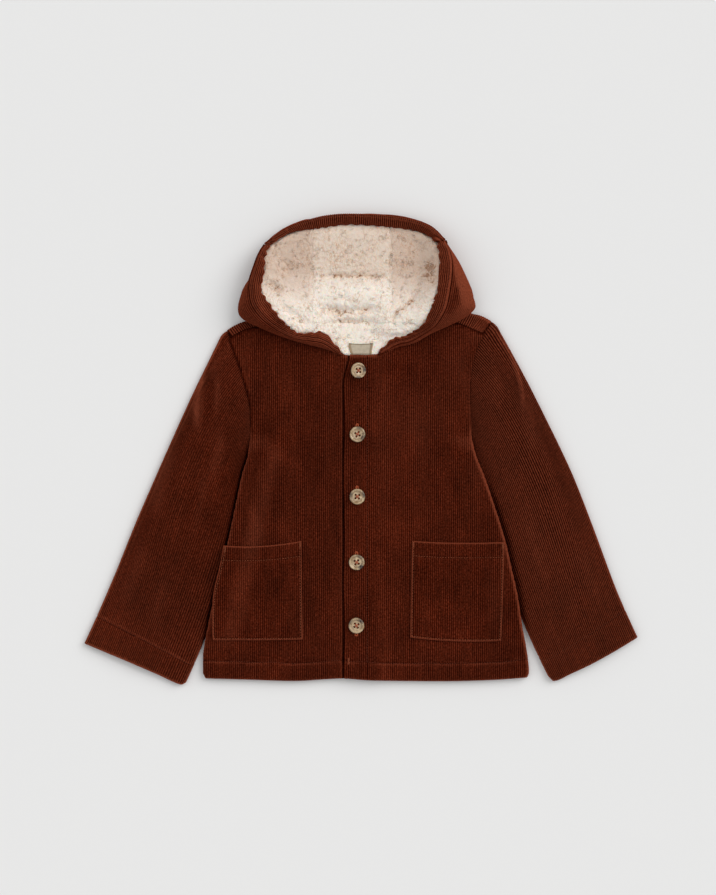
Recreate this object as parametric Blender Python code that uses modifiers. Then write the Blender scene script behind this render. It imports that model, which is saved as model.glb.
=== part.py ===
"""A toddler's hooded corduroy coat, lined with fleece, laid flat on its back.

Frame: X runs from the wearer's right hand to the left, Y from the hem to the hood, Z up. The
underside lies on z = 0 and the origin is under the middle of the laid-out coat. Tables and sizes
are in millimetres, and MM turns them into metres where a mesh is made.
"""
import math
from collections import namedtuple

import bmesh
import bpy
from mathutils import Vector

MM = 0.001

# Cloth: the body wall is corduroy with its fleece lining, and the sleeve and hood walls are thinner.
BODY_WALL = 4.0
SLEEVE_WALL = 3.0
HOOD_WALL = 2.0
FLEECE_WALL = 5.0
POCKET_WALL = 2.2
PLACKET_WALL = 3.2
SEAM_GAP = 0.3
FOLD_RADIUS = BODY_WALL + SEAM_GAP / 2
EDGE_FACE = 0.5
HEM_ROUND = 1.4

# Front closure: the wearer's left front laps over the right one.
OVER_EDGE_X = -18.6
UNDER_EDGE_X = 9.8
NECK_EDGE_Y = 102.8
PLACKET_RISE = PLACKET_WALL + 0.1
UNDERLAP_WALL = PLACKET_WALL - 0.1
UNDERLAP_SLOPE_X = OVER_EDGE_X - 16.0
UNDERLAP_SLOPE = 14.0
PLACKET_SLOPE_START_X = 11.0
PLACKET_SLOPE_END_X = 38.0

# Side edges of the body lie over the sleeves below the underarm.
UNDERARM_Y = 6.0
SLEEVE_HEIGHT = 2 * SLEEVE_WALL + 2 * SEAM_GAP
EDGE_LIFT = SLEEVE_HEIGHT + SEAM_GAP
LIFT_SHELF = 13.0
LIFT_SLOPE = 30.0
LIFT_TOP_Y = UNDERARM_Y + 12.0
LIFT_TOP_RUN = 24.0
LIFT_FOOT_Y = -226.0
LIFT_FOOT_RUN = 26.0

# Buttons, from the neck down to the hem.
BUTTON_HEIGHT = 3.4
BUTTON_HOLE_RADIUS = 0.9
BUTTON_HOLE_SPACING = 3.4
BUTTON_CENTRES = [(-3.4, 85.5), (-3.9, 15.6), (-4.0, -52.8), (-4.7, -124.8), (-5.0, -194.2)]

Side = namedtuple("Side", "y right_x left_x")
Edge = namedtuple("Edge", "x y")
Row = namedtuple("Row", "outer_x outer_y inner_x inner_y")

# Side seam and armhole edges, from the hem up. right_x and left_x are the wearer's right and left.
SIDES = [
    Side(-253.0, -170.5, 181.5), Side(-246.0, -173.5, 184.5), Side(-222.0, -173.0, 182.0),
    Side(-196.0, -168.0, 177.0), Side(-160.0, -160.5, 171.5), Side(-129.0, -152.5, 164.5),
    Side(-100.0, -145.5, 158.0), Side(-60.0, -137.0, 145.5), Side(-27.0, -130.0, 134.0),
    Side(-10.0, -124.5, 127.0), Side(10.0, -122.0, 122.0), Side(35.0, -121.5, 120.5),
    Side(52.0, -123.0, 120.0), Side(70.0, -127.5, 120.0), Side(87.0, -132.5, 121.5),
    Side(101.0, -137.5, 124.5), Side(114.0, -142.5, 129.5), Side(122.0, -145.5, 133.5),
    Side(128.0, -149.5, 137.5), Side(138.0, -157.0, 147.0),
]

# Lower edge of the fronts and the back.
HEM = [
    Edge(-171.0, -252.5), Edge(-125.0, -253.8), Edge(-72.0, -255.3), Edge(-36.0, -253.2), Edge(-18.0, -252.6),
    Edge(10.0, -254.6), Edge(68.0, -255.5), Edge(108.0, -255.4), Edge(148.0, -254.0), Edge(182.0, -251.6),
]

# Top of the back: the shoulder folds, with the neck scooped out between them.
BACK_TOP = [
    Edge(-149.5, 128.0), Edge(-141.0, 134.0), Edge(-130.0, 139.0), Edge(-95.0, 149.0), Edge(-58.0, 158.0),
    Edge(-50.0, 146.0), Edge(-28.0, 139.5), Edge(0.0, 138.0), Edge(28.0, 140.0), Edge(49.0, 148.0),
    Edge(57.0, 162.0), Edge(90.0, 156.0), Edge(123.0, 148.0), Edge(134.0, 145.0), Edge(146.5, 138.0),
]

# Seam in front of each shoulder, from right to left, where the back's wrapped edge meets the front.
RIGHT_SHOULDER_SEAM = [
    Edge(-144.5, 121.5), Edge(-129.0, 130.0), Edge(-113.0, 134.5), Edge(-85.0, 141.5), Edge(-58.0, 148.0)]
LEFT_SHOULDER_SEAM = [
    Edge(57.0, 151.0), Edge(82.0, 144.5), Edge(109.0, 137.0), Edge(127.0, 129.5), Edge(135.5, 126.0)]


def clamp(value, low=0.0, high=1.0):
    return max(low, min(high, value))


def smooth(value):
    value = clamp(value)
    return value * value * (3 - 2 * value)


def mix(start, end, share):
    return start + (end - start) * share


def curve_value(table, key, column, at):
    """Read a column at a key with a smooth curve through the rows, clamped at both ends."""
    keys = [getattr(row, key) for row in table]
    values = [getattr(row, column) for row in table]
    if at <= keys[0]:
        return values[0]
    if at >= keys[-1]:
        return values[-1]
    i = next(n for n in range(len(keys) - 1) if keys[n + 1] >= at)
    before, after = max(i - 1, 0), min(i + 2, len(keys) - 1)
    span = keys[i + 1] - keys[i]
    slope_in = (values[i + 1] - values[before]) / (keys[i + 1] - keys[before]) * span
    slope_out = (values[after] - values[i]) / (keys[after] - keys[i]) * span
    t = (at - keys[i]) / span
    return ((2 * t**3 - 3 * t**2 + 1) * values[i] + (t**3 - 2 * t**2 + t) * slope_in
            + (3 * t**2 - 2 * t**3) * values[i + 1] + (t**3 - t**2) * slope_out)


def side_x(side, y):
    return curve_value(SIDES, "y", side + "_x", y)


def hem_y(x):
    return curve_value(HEM, "x", "y", x)


def fold_height(depth):
    """Half height of a folded edge at a depth in from it."""
    inside = FOLD_RADIUS - clamp(depth, 0.0, FOLD_RADIUS)
    return math.sqrt(FOLD_RADIUS**2 - inside**2)


def edge_depth(x, y):
    """Distance in from the nearer side edge."""
    return min(x - side_x("right", y), side_x("left", y) - x)


def lift(x, y):
    """How far the body rises near its side edges, to lie over the sleeves."""
    along = smooth((LIFT_TOP_Y - y) / LIFT_TOP_RUN) * smooth((y - LIFT_FOOT_Y) / LIFT_FOOT_RUN)
    return EDGE_LIFT * along * clamp((LIFT_SHELF + LIFT_SLOPE - edge_depth(x, y)) / LIFT_SLOPE)


def middle_z(x, y):
    return FOLD_RADIUS + lift(x, y)


def back_heights(x, y):
    middle = middle_z(x, y)
    under = middle - max(fold_height(edge_depth(x, y)), SEAM_GAP / 2 + EDGE_FACE)
    return under, middle - SEAM_GAP / 2


def placket_rise(x):
    return PLACKET_RISE * smooth((PLACKET_SLOPE_END_X - x) / (PLACKET_SLOPE_END_X - PLACKET_SLOPE_START_X))


def over_front_heights(x, y):
    """The wearer's left front, which climbs over the right front at the placket."""
    middle = middle_z(x, y)
    rise = placket_rise(x)
    top = max(fold_height(side_x("left", y) - x), SEAM_GAP / 2 + EDGE_FACE)
    thinning = (BODY_WALL - PLACKET_WALL) * rise / PLACKET_RISE
    return middle + SEAM_GAP / 2 + rise, middle + top + rise - thinning


def under_front_heights(x, y):
    """The wearer's right front, thinner where the other front lies on it."""
    middle = middle_z(x, y)
    top = max(fold_height(x - side_x("right", y)), SEAM_GAP / 2 + EDGE_FACE)
    thinning = (BODY_WALL - UNDERLAP_WALL) * smooth((x - UNDERLAP_SLOPE_X) / UNDERLAP_SLOPE)
    return middle + SEAM_GAP / 2, middle + top - thinning


def front_top(x, y):
    heights = over_front_heights if x >= OVER_EDGE_X else under_front_heights
    return heights(x, y)[1]


def clear_scene():
    for thing in list(bpy.data.objects):
        bpy.data.objects.remove(thing, do_unlink=True)


def collection(name):
    group = bpy.data.collections.new(name)
    bpy.context.scene.collection.children.link(group)
    return group


def finish(name, colour, roughness):
    """One Principled material for a sub-part."""
    material = bpy.data.materials.new(name)
    material.use_nodes = True
    shader = material.node_tree.nodes["Principled BSDF"]
    shader.inputs["Base Color"].default_value = (*colour, 1.0)
    shader.inputs["Roughness"].default_value = roughness
    shader.inputs["Metallic"].default_value = 0.0
    return material


CORDUROY = (0.135, 0.034, 0.015)
FLEECE = (0.72, 0.60, 0.50)
LABEL = (0.55, 0.47, 0.36)
HORN = (0.62, 0.47, 0.30)


def wall(name, grid, colour, roughness=0.9, closed=False):
    """A closed solid from a grid of (outer point, inner point) pairs, rows of equal length.

    With closed set, the last column joins the first and the solid is a tube with open ends.
    """
    mesh = bmesh.new()
    outer = [[mesh.verts.new(Vector(pair[0]) * MM) for pair in row] for row in grid]
    inner = [[mesh.verts.new(Vector(pair[1]) * MM) for pair in row] for row in grid]
    rows, columns = len(grid), len(grid[0])
    last = columns if closed else columns - 1
    for i in range(rows - 1):
        for j in range(last):
            k = (j + 1) % columns
            mesh.faces.new((outer[i][j], outer[i][k], outer[i + 1][k], outer[i + 1][j]))
            mesh.faces.new((inner[i][j], inner[i + 1][j], inner[i + 1][k], inner[i][k]))
    for i in (0, rows - 1):
        for j in range(last):
            k = (j + 1) % columns
            mesh.faces.new((outer[i][j], inner[i][j], inner[i][k], outer[i][k]))
    if not closed:
        for j in (0, columns - 1):
            for i in range(rows - 1):
                mesh.faces.new((outer[i][j], outer[i + 1][j], inner[i + 1][j], inner[i][j]))
    bmesh.ops.triangulate(mesh, faces=mesh.faces)
    bmesh.ops.recalc_face_normals(mesh, faces=mesh.faces)
    data = bpy.data.meshes.new(name)
    mesh.to_mesh(data)
    mesh.free()
    data.materials.append(finish(name, colour, roughness))
    thing = bpy.data.objects.new(name, data)
    COAT.objects.link(thing)
    return thing


def layer(name, grid, colour):
    """A laid panel from a grid of (x, y, underside, top)."""
    return wall(name, [[((x, y, top), (x, y, under)) for x, y, under, top in row] for row in grid], colour)


clear_scene()
COAT = collection("corduroy_coat")
CUTTERS = collection("cutters")


def spread(row, from_outer, shares, from_inner):
    """Points across a row: fixed distances in from each end, with shares of what is left between."""
    width = abs(row.inner_x - row.outer_x)
    squeeze = min(1.0, width / (from_outer[-1] + from_inner[-1] + 16.0))
    starts = [d * squeeze / width for d in from_outer]
    ends = [1 - d * squeeze / width for d in reversed(from_inner)]
    return starts + [mix(starts[-1], ends[0], s) for s in shares] + ends


# Back -------------------------------------------------------------------------------------------
# One panel from side seam to side seam. Its top edge wraps over each shoulder onto the front.
HEM_ROW_Y = -253.0
HEM_FLAT_Y = -252.0
FROM_SIDE = (0.0, 1.0, 2.4, 4.3, LIFT_SHELF, LIFT_SHELF + LIFT_SLOPE)
BACK_SHARES = (0.11, 0.231, 0.269, 0.374, 0.507, 0.64, 0.74, 0.778, 0.89)
BODY_YS = (-249.5, -228.0, -210.0, -196.0, -160.0, -129.0, -100.0, -60.0, -27.0, -8.0, 12.0, 35.0, 52.0,
           74.0, 101.4)


def back_grid():
    grid = []
    for y in (HEM_ROW_Y, *BODY_YS, 114.0, 124.0):
        row = Row(side_x("right", y), y, side_x("left", y), y)
        shares = spread(row, FROM_SIDE, BACK_SHARES, FROM_SIDE)
        xs = [mix(row.outer_x, row.inner_x, s) for s in shares]
        ys = [hem_y(x) + 1.0 for x in xs] if y == HEM_ROW_Y else [y] * len(xs)
        line = []
        for x, at in zip(xs, ys):
            under, top = back_heights(x, max(at, HEM_FLAT_Y))
            line.append((x, at, under + (HEM_ROUND if y == HEM_ROW_Y else 0.0), top))
        grid.append(line)
    first, last = BACK_TOP[0], BACK_TOP[-1]
    row = Row(first.x, first.y, last.x, last.y)
    xs = [mix(row.outer_x, row.inner_x, s) for s in spread(row, FROM_SIDE, BACK_SHARES, FROM_SIDE)]
    grid.append([(x, curve_value(BACK_TOP, "x", "y", x), 0.0, BODY_WALL) for x in xs])
    return grid


def shoulder_wrap(name, seam, fold_xs):
    """The part of the back that folds over a shoulder and lies on top as far as the seam."""
    grid = []
    for point, fold_x in zip(seam, fold_xs):
        fold_y = curve_value(BACK_TOP, "x", "y", fold_x)
        length = math.hypot(fold_x - point.x, fold_y - point.y)
        row = []
        for before in (length - 3 * SEAM_GAP, length * 0.6, FOLD_RADIUS, 2.6, 1.2, 0.2):
            x = mix(fold_x, point.x, before / length)
            y = mix(fold_y, point.y, before / length)
            depth = min(before, max(edge_depth(x, y), 0.0))
            top = FOLD_RADIUS + max(fold_height(depth), SEAM_GAP / 2 + EDGE_FACE)
            under = FOLD_RADIUS + SEAM_GAP / 2 if before >= FOLD_RADIUS else BODY_WALL * 0.6
            row.append((x, y, under, top))
        grid.append(row)
    return layer(name, grid, CORDUROY)


def join(target, added):
    """Union a second solid into the first."""
    step = target.modifiers.new("union", "BOOLEAN")
    step.operation = "UNION"
    step.solver = "EXACT"
    step.object = added
    added.hide_render = True
    added.display_type = "WIRE"
    COAT.objects.unlink(added)
    CUTTERS.objects.link(added)


back = layer("back", back_grid(), CORDUROY)
join(back, shoulder_wrap("right_shoulder_wrap", RIGHT_SHOULDER_SEAM, (-149.0, -136.0, -118.0, -87.0, -58.6)))
join(back, shoulder_wrap("left_shoulder_wrap", LEFT_SHOULDER_SEAM, (57.6, 84.0, 114.0, 134.0, 146.0)))


# Fronts -----------------------------------------------------------------------------------------
# Two panels. The wearer's left one laps over the right one, so its free edge shows.
RIGHT_NECKLINE = [Edge(-20.2, 103.2), Edge(-42.0, 115.0), Edge(-54.0, 130.0)]
LEFT_NECKLINE = [Edge(16.0, 103.2), Edge(30.0, 108.5), Edge(45.0, 118.5), Edge(54.0, 133.0)]
FRONT_SHARES = (0.25, 0.5, 0.75)


def front_grid(side, inner_x, top_y, neckline, armhole_ys, seam, heights, from_inner):
    """Rows from the hem up to the shoulder seam, each from the side edge to the inner edge."""
    rows = [Row(side_x(side, y), y, inner_x, y) for y in (HEM_ROW_Y, *BODY_YS[:-1], top_y)]
    rows += [Row(side_x(side, y), y, neck.x, neck.y) for y, neck in zip(armhole_ys, neckline)]
    grid = []
    for row in rows:
        line = []
        for share in spread(row, FROM_SIDE, FRONT_SHARES, from_inner):
            x, y = mix(row.outer_x, row.inner_x, share), mix(row.outer_y, row.inner_y, share)
            under, top = heights(x, max(y, HEM_FLAT_Y))
            if row is rows[0]:
                y, top = hem_y(x), max(top - HEM_ROUND, under + EDGE_FACE)
            line.append((x, y, under, top))
        grid.append(line)
    armhole_end, neck_end = (seam[0], seam[-1]) if side == "right" else (seam[-1], seam[0])
    row = Row(armhole_end.x, armhole_end.y, neck_end.x, neck_end.y)
    line = []
    for share in spread(row, FROM_SIDE, FRONT_SHARES, from_inner):
        x = mix(row.outer_x, row.inner_x, share)
        y = curve_value(seam, "x", "y", x)
        line.append((x, y, *heights(x, y)))
    grid.append(line)
    return grid


layer("front_right", front_grid(
    "right", UNDER_EDGE_X, 101.4, RIGHT_NECKLINE, (102.4, 108.0, 114.0), RIGHT_SHOULDER_SEAM,
    under_front_heights, (0.0, UNDER_EDGE_X - OVER_EDGE_X, UNDER_EDGE_X - UNDERLAP_SLOPE_X)), CORDUROY)
layer("front_left", front_grid(
    "left", OVER_EDGE_X, NECK_EDGE_Y, LEFT_NECKLINE, (104.0, 108.0, 113.0, 119.0), LEFT_SHOULDER_SEAM,
    over_front_heights, (0.0, PLACKET_SLOPE_START_X - OVER_EDGE_X, 43.0, PLACKET_SLOPE_END_X - OVER_EDGE_X)),
    CORDUROY)


# Patch pockets ----------------------------------------------------------------------------------
# One on each front, sewn on along the sides and bottom, with the top edge open.
Pocket = namedtuple("Pocket", "outer_x outer_y inner_x inner_y sag")
POCKETS = {
    "right": [
        Pocket(-150.7, -106.2, -65.1, -101.2, -3.0), Pocket(-155.3, -130.0, -65.0, -129.0, -1.5),
        Pocket(-162.0, -160.0, -64.6, -160.0, 0.0), Pocket(-163.4, -196.0, -64.2, -196.0, 0.0),
        Pocket(-162.8, -210.2, -63.6, -209.8, -0.6)],
    "left": [
        Pocket(157.3, -102.2, 55.7, -101.2, -1.6), Pocket(156.5, -130.0, 55.2, -129.0, -0.8),
        Pocket(155.7, -160.0, 54.7, -160.0, 0.0), Pocket(154.4, -196.0, 54.1, -196.0, -1.0),
        Pocket(153.9, -211.2, 53.9, -207.5, -2.4)],
}
POCKET_DEPTHS = (6.0, 13.0, 43.0)
POCKET_SHARES = (0.35, 0.7, 1.0)
POCKET_GAP = 0.7


def pocket_line(side, row):
    """Points across a pocket, over the same bends of the front that lie under it."""
    inward = 1.0 if side == "right" else -1.0
    edge_x = side_x(side, row.outer_y)
    outer_depth = (row.outer_x - edge_x) * inward
    depths = [max(depth, outer_depth + 2.0 * n) for n, depth in enumerate(POCKET_DEPTHS, start=1)]
    xs = [row.outer_x] + [edge_x + inward * depth for depth in depths]
    xs += [mix(xs[-1], row.inner_x, share) for share in POCKET_SHARES]
    line = []
    for x in xs:
        share = (x - row.outer_x) / (row.inner_x - row.outer_x)
        y = mix(row.outer_y, row.inner_y, share) + row.sag * 4 * share * (1 - share)
        full_x = side_x(side, y) + inward * (FOLD_RADIUS + EDGE_FACE)
        held = max(x, full_x) if side == "right" else min(x, full_x)
        under = front_top(held, y) + POCKET_GAP
        line.append((x, y, under, under + POCKET_WALL))
    return line


for side, rows in POCKETS.items():
    layer("pocket_" + side, [pocket_line(side, row) for row in rows], CORDUROY)


# Sleeves ----------------------------------------------------------------------------------------
# Each is a flattened tube from the armhole to the cuff, with its fold on the outside.
Cuff = namedtuple("Cuff", "share head_angle cuff_angle x y")
SLEEVES = {
    "right": [
        Cuff(0.0, 29.5, 22.5, -303.6, -214.0), Cuff(0.25, 45.0, 22.0, -277.2, -225.0),
        Cuff(0.5, 36.0, 23.0, -250.8, -236.0), Cuff(0.75, 22.0, 24.0, -224.0, -247.7),
        Cuff(0.95, 8.0, 25.0, -198.5, -259.0), Cuff(1.0, 5.0, 25.0, -192.5, -257.0)],
    "left": [
        Cuff(0.0, 32.0, 22.5, 303.6, -207.4), Cuff(0.25, 47.0, 22.0, 278.5, -222.5),
        Cuff(0.5, 38.0, 24.0, 254.0, -236.0), Cuff(0.75, 25.0, 26.0, 231.0, -247.0),
        Cuff(0.95, 12.0, 27.0, 212.0, -255.2), Cuff(1.0, 10.0, 27.0, 205.7, -249.7)],
}
SHOULDER_Y = {"right": 127.4, "left": 138.0}
ARMHOLE_GAP = 0.5
SLEEVE_RADIUS = SLEEVE_HEIGHT / 2
SLEEVE_STATIONS = (0.0, 0.06, 0.13, 0.21, 0.3, 0.4, 0.5, 0.6, 0.7, 0.8, 0.9, 1.0)
# Outer and inner wall near a fold: distance in from the edge, and height above the middle.
FoldStep = namedtuple("FoldStep", "outer_depth outer_height inner_depth inner_height")
FOLD_STEPS = [FoldStep(0.0, 0.0, 3.0, 0.0), FoldStep(0.7, 2.03, 3.05, 0.16),
              FoldStep(2.0, 3.03, 3.15, 0.26), FoldStep(4.0, 3.3, 4.0, 0.3)]


def sleeve_point(side, share, along):
    """Plan position at a share across, from the outer fold, and a share along, from the armhole."""
    outward = -1.0 if side == "right" else 1.0
    start_y = mix(SHOULDER_Y[side], UNDERARM_Y, share)
    start = Vector((side_x(side, start_y) + outward * ARMHOLE_GAP, start_y))
    table = SLEEVES[side]
    end = Vector([curve_value(table, "share", key, share) for key in ("x", "y")])
    angles = [math.radians(curve_value(table, "share", key, share)) for key in ("head_angle", "cuff_angle")]
    chord = (end - start).length
    pulls = [Vector((outward * math.sin(a), -math.cos(a))) * chord for a in angles]
    t = along
    return ((2 * t**3 - 3 * t**2 + 1) * start + (t**3 - 2 * t**2 + t) * pulls[0]
            + (3 * t**2 - 2 * t**3) * end + (t**3 - t**2) * pulls[1])


def sleeve_ring(side, along):
    """One section through the tube, round the top from the outer fold and back underneath."""
    width = (sleeve_point(side, 1.0, along) - sleeve_point(side, 0.0, along)).length
    steps = [(step.outer_depth / width, step.outer_height, step.inner_depth / width, step.inner_height)
             for step in FOLD_STEPS]
    flat = [(share, SLEEVE_RADIUS, share, SEAM_GAP) for share in (0.2, 0.5, 0.8)]
    top = steps + flat + [(1 - a, b, 1 - c, d) for a, b, c, d in reversed(steps)]
    ring = top + [(a, -b, c, -d) for a, b, c, d in reversed(top[1:-1])]
    pairs = []
    for outer_share, outer_height, inner_share, inner_height in ring:
        outer, inner = (sleeve_point(side, share, along) for share in (outer_share, inner_share))
        pairs.append(((outer.x, outer.y, SLEEVE_RADIUS + outer_height),
                      (inner.x, inner.y, SLEEVE_RADIUS + inner_height)))
    return pairs


for side in SLEEVES:
    wall("sleeve_" + side, [sleeve_ring(side, along) for along in SLEEVE_STATIONS], CORDUROY, closed=True)


# Hood -------------------------------------------------------------------------------------------
# Two sides and a centre panel. It lies open on its crown, and its front edge stands up as a rim
# whose turned facing shows inside. Each station is a section across the rim: where the facing ends,
# where the hood reaches furthest out, how far along the ridge stands, what it rests on, and where
# the panel ends underneath.
ON_TABLE = 0.0
ON_BODY = 2 * FOLD_RADIUS + SEAM_GAP
Station = namedtuple("Station", "rim_x rim_y out_x out_y ridge_share ridge_z base_z end_x end_y")
FACING_FALL = 0.22
BULGE_SHARE = 0.42
FOOT_SHARE = 0.35
FOOT_LIMIT = 9.0
HOOD_RIGHT = [
    Station(-20.0, 104.2, -23.5, 102.4, 0.6, 13.0, ON_BODY, -22.3, 104.0),
    Station(-39.6, 127.0, -40.0, 108.5, 0.6, 18.0, ON_BODY, -41.5, 114.0),
    Station(-55.0, 127.0, -58.5, 113.3, 0.55, 21.0, ON_BODY, -52.0, 121.0),
    Station(-70.4, 127.5, -78.5, 119.0, 0.6, 23.0, ON_BODY, -60.5, 127.0),
    Station(-87.6, 142.0, -109.0, 132.0, 0.55, 27.0, ON_BODY, -61.0, 138.0),
    Station(-102.3, 162.3, -130.0, 147.5, 0.5, 30.0, ON_BODY, -62.5, 156.5),
    Station(-108.9, 173.8, -131.5, 171.5, 0.54, 31.0, ON_TABLE, -69.4, 172.0),
    Station(-105.8, 191.2, -122.2, 189.8, 0.86, 31.0, ON_TABLE, -80.6, 188.0),
    Station(-104.2, 210.0, -115.2, 210.7, 0.86, 28.0, ON_TABLE, -92.4, 205.0),
    Station(-99.2, 222.2, -108.4, 223.3, 0.86, 22.0, ON_TABLE, -105.0, 222.6),
]
HOOD_CENTRE = [
    Station(-98.4, 223.4, -107.4, 224.8, 0.86, 22.0, ON_TABLE, -60.4, 163.0),
    Station(-76.6, 237.0, -84.0, 243.4, 0.88, 17.0, ON_TABLE, -47.5, 150.0),
    Station(-45.1, 242.1, -47.3, 255.2, 0.9, 15.0, ON_TABLE, -28.0, 141.0),
    Station(-9.9, 246.0, -9.9, 258.8, 0.9, 15.0, ON_TABLE, 0.0, 139.0),
    Station(41.4, 242.1, 42.9, 254.9, 0.9, 16.0, ON_TABLE, 28.0, 141.6),
    Station(68.5, 236.4, 75.0, 245.0, 0.88, 19.0, ON_TABLE, 46.5, 152.6),
    Station(82.0, 225.8, 92.6, 229.0, 0.8, 27.0, ON_TABLE, 59.2, 167.0),
]
HOOD_LEFT = [
    Station(82.9, 224.4, 94.0, 227.0, 0.8, 27.5, ON_TABLE, 90.8, 226.0),
    Station(85.4, 205.2, 108.4, 204.1, 0.53, 34.0, ON_TABLE, 79.8, 205.0),
    Station(84.0, 179.0, 120.0, 179.0, 0.34, 36.0, ON_TABLE, 67.2, 180.0),
    Station(80.8, 165.5, 123.4, 166.0, 0.31, 35.5, ON_BODY, 66.8, 168.5),
    Station(76.2, 152.9, 124.6, 152.9, 0.3, 34.0, ON_BODY, 60.0, 153.0),
    Station(67.1, 135.3, 109.0, 140.5, 0.36, 29.0, ON_BODY, 60.0, 141.0),
    Station(55.3, 127.4, 80.0, 127.0, 0.6, 24.0, ON_BODY, 56.5, 132.0),
    Station(45.4, 122.7, 58.3, 115.0, 0.6, 19.5, ON_BODY, 49.0, 122.0),
    Station(33.7, 120.5, 40.7, 110.6, 0.6, 16.5, ON_BODY + 0.4, 36.0, 112.5),
    Station(17.6, 104.6, 21.5, 103.2, 0.6, 14.0, ON_BODY + 2.6, 20.0, 104.6),
]


def rim_path(station):
    """Points round the outside of a section, as (distance out from the facing's edge, height)."""
    reach = math.hypot(station.out_x - station.rim_x, station.out_y - station.rim_y)
    ridge, height = station.ridge_share * reach, station.ridge_z - station.base_z
    facing_z = station.ridge_z - FACING_FALL * ridge
    bulge_z = station.base_z + BULGE_SHARE * height
    foot = min(FOOT_SHARE * reach, FOOT_LIMIT)
    return [
        (0.0, facing_z), (ridge * 0.5, mix(facing_z, station.ridge_z, 0.62)), (ridge, station.ridge_z),
        (mix(ridge, reach, 0.55), mix(bulge_z, station.ridge_z, 0.75)), (reach, bulge_z),
        (reach - 0.25 * foot, station.base_z + 0.14 * height), (reach - foot, station.base_z),
    ]


def offset_inwards(path, distance):
    """The same path moved inwards, to its right hand side."""
    moved = []
    for i, point in enumerate(path):
        before, after = path[max(i - 1, 0)], path[min(i + 1, len(path) - 1)]
        along = Vector((after[0] - before[0], after[1] - before[1])).normalized()
        moved.append((point[0] + along.y * distance, point[1] - along.x * distance))
    return moved


def hood_section(station, floor_steps):
    """Outer and inner points of a section, from the facing's edge round to the end underneath."""
    rim = Vector((station.rim_x, station.rim_y))
    out = (Vector((station.out_x, station.out_y)) - rim).normalized()
    path = rim_path(station)
    pairs = []
    for (reach, z), (inner_reach, inner_z) in zip(path, offset_inwards(path, HOOD_WALL)):
        outer, inner = rim + out * reach, rim + out * inner_reach
        pairs.append(((outer.x, outer.y, z), (inner.x, inner.y, max(inner_z, station.base_z + HOOD_WALL))))
    foot = Vector(pairs[-1][0][:2])
    end = Vector((station.end_x, station.end_y))
    for step in range(1, floor_steps + 1):
        x, y = foot.lerp(end, step / floor_steps)
        pairs.append(((x, y, station.base_z), (x, y, station.base_z + HOOD_WALL)))
    return pairs


def between(stations, steps):
    """Stations with smooth ones worked out between them."""
    rows = []
    for i in range(len(stations) - 1):
        window = [stations[clamp_index(i + n, len(stations))] for n in (-1, 0, 1, 2)]
        for step in range(steps):
            t = step / steps
            weights = (-t**3 + 2 * t**2 - t, 3 * t**3 - 5 * t**2 + 2, -3 * t**3 + 4 * t**2 + t, t**3 - t**2)
            row = Station(*(sum(w * v for w, v in zip(weights, column)) / 2 for column in zip(*window)))
            rows.append(row._replace(base_z=mix(stations[i].base_z, stations[i + 1].base_z, t)))
    return rows + [stations[-1]]


def clamp_index(index, count):
    return min(max(index, 0), count - 1)


wall("hood_right", [hood_section(s, 1) for s in between(HOOD_RIGHT, 2)], CORDUROY)
wall("hood_centre", [hood_section(s, 3) for s in between(HOOD_CENTRE, 2)], CORDUROY)
wall("hood_left", [hood_section(s, 1) for s in between(HOOD_LEFT, 2)], CORDUROY)


# Fleece lining ----------------------------------------------------------------------------------
# The hood's lining is three panels, like the hood. Below the neck seam the back's own lining shows.
Lining = namedtuple("Lining", "y right_x right_z left_x left_z side_z centre_z")
LINING = [
    Lining(104.0, -21.0, 9.4, 18.0, 9.6, 9.3, 9.3), Lining(116.0, -41.0, 10.2, 38.0, 10.6, 9.6, 9.3),
    Lining(124.0, -66.0, 14.0, 52.0, 13.6, 12.4, 9.4), Lining(127.0, -73.0, 16.0, 56.0, 15.6, 15.6, 9.4),
    Lining(130.0, -76.0, 17.6, 61.0, 17.6, 16.2, 9.4),
    Lining(138.0, -85.0, 19.6, 70.0, 22.0, 16.5, 9.8), Lining(147.0, -93.0, 21.6, 75.5, 25.6, 16.5, 12.8),
    Lining(152.0, -97.0, 22.3, 77.5, 27.3, 16.5, 11.8), Lining(158.0, -101.0, 23.0, 80.0, 28.6, 15.6, 13.6),
    Lining(166.0, -106.0, 24.0, 82.5, 29.8, 13.4, 13.2), Lining(174.0, -110.0, 25.0, 85.0, 30.5, 11.0, 10.8),
    Lining(187.0, -108.2, 24.6, 86.6, 30.2, 8.6, 7.8), Lining(196.0, -106.6, 24.0, 87.0, 29.4, 8.2, 8.2),
    Lining(208.0, -105.6, 22.6, 86.8, 27.4, 8.6, 9.0), Lining(219.0, -102.0, 18.8, 85.4, 23.6, 9.0, 9.6),
    Lining(227.0, -93.0, 15.8, 81.0, 19.6, 9.8, 10.2), Lining(234.0, -82.5, 13.0, 73.5, 15.0, 10.2, 10.4),
    Lining(240.0, -63.0, 10.6, 56.0, 11.6, 9.6, 9.8), Lining(248.0, -30.0, 9.4, 20.0, 9.4, 9.2, 9.2),
]
LINING_SEAMS = {"right": -53.0, "left": 33.2}
BOWL_MIDDLE_X = -10.0
BOWL_FLOOR_HALF = 18.0
BOWL_FLOOR_RUN = 25.0
WALL_RUN = 26.0


def fleece_top(x, y):
    """Height of the fleece: a floor that rises to the sides and a wall up to the rim."""
    names = ("right_x", "right_z", "left_x", "left_z", "side_z", "centre_z")
    right_x, right_z, left_x, left_z, side_z, centre_z = (curve_value(LINING, "y", n, y) for n in names)
    floor = mix(centre_z, side_z, smooth((abs(x - BOWL_MIDDLE_X) - BOWL_FLOOR_HALF) / BOWL_FLOOR_RUN))
    depth, rim_z = (x - right_x, right_z) if x < BOWL_MIDDLE_X else (left_x - x, left_z)
    return max(floor, mix(floor, rim_z, 1 - smooth(depth / WALL_RUN)))


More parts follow.
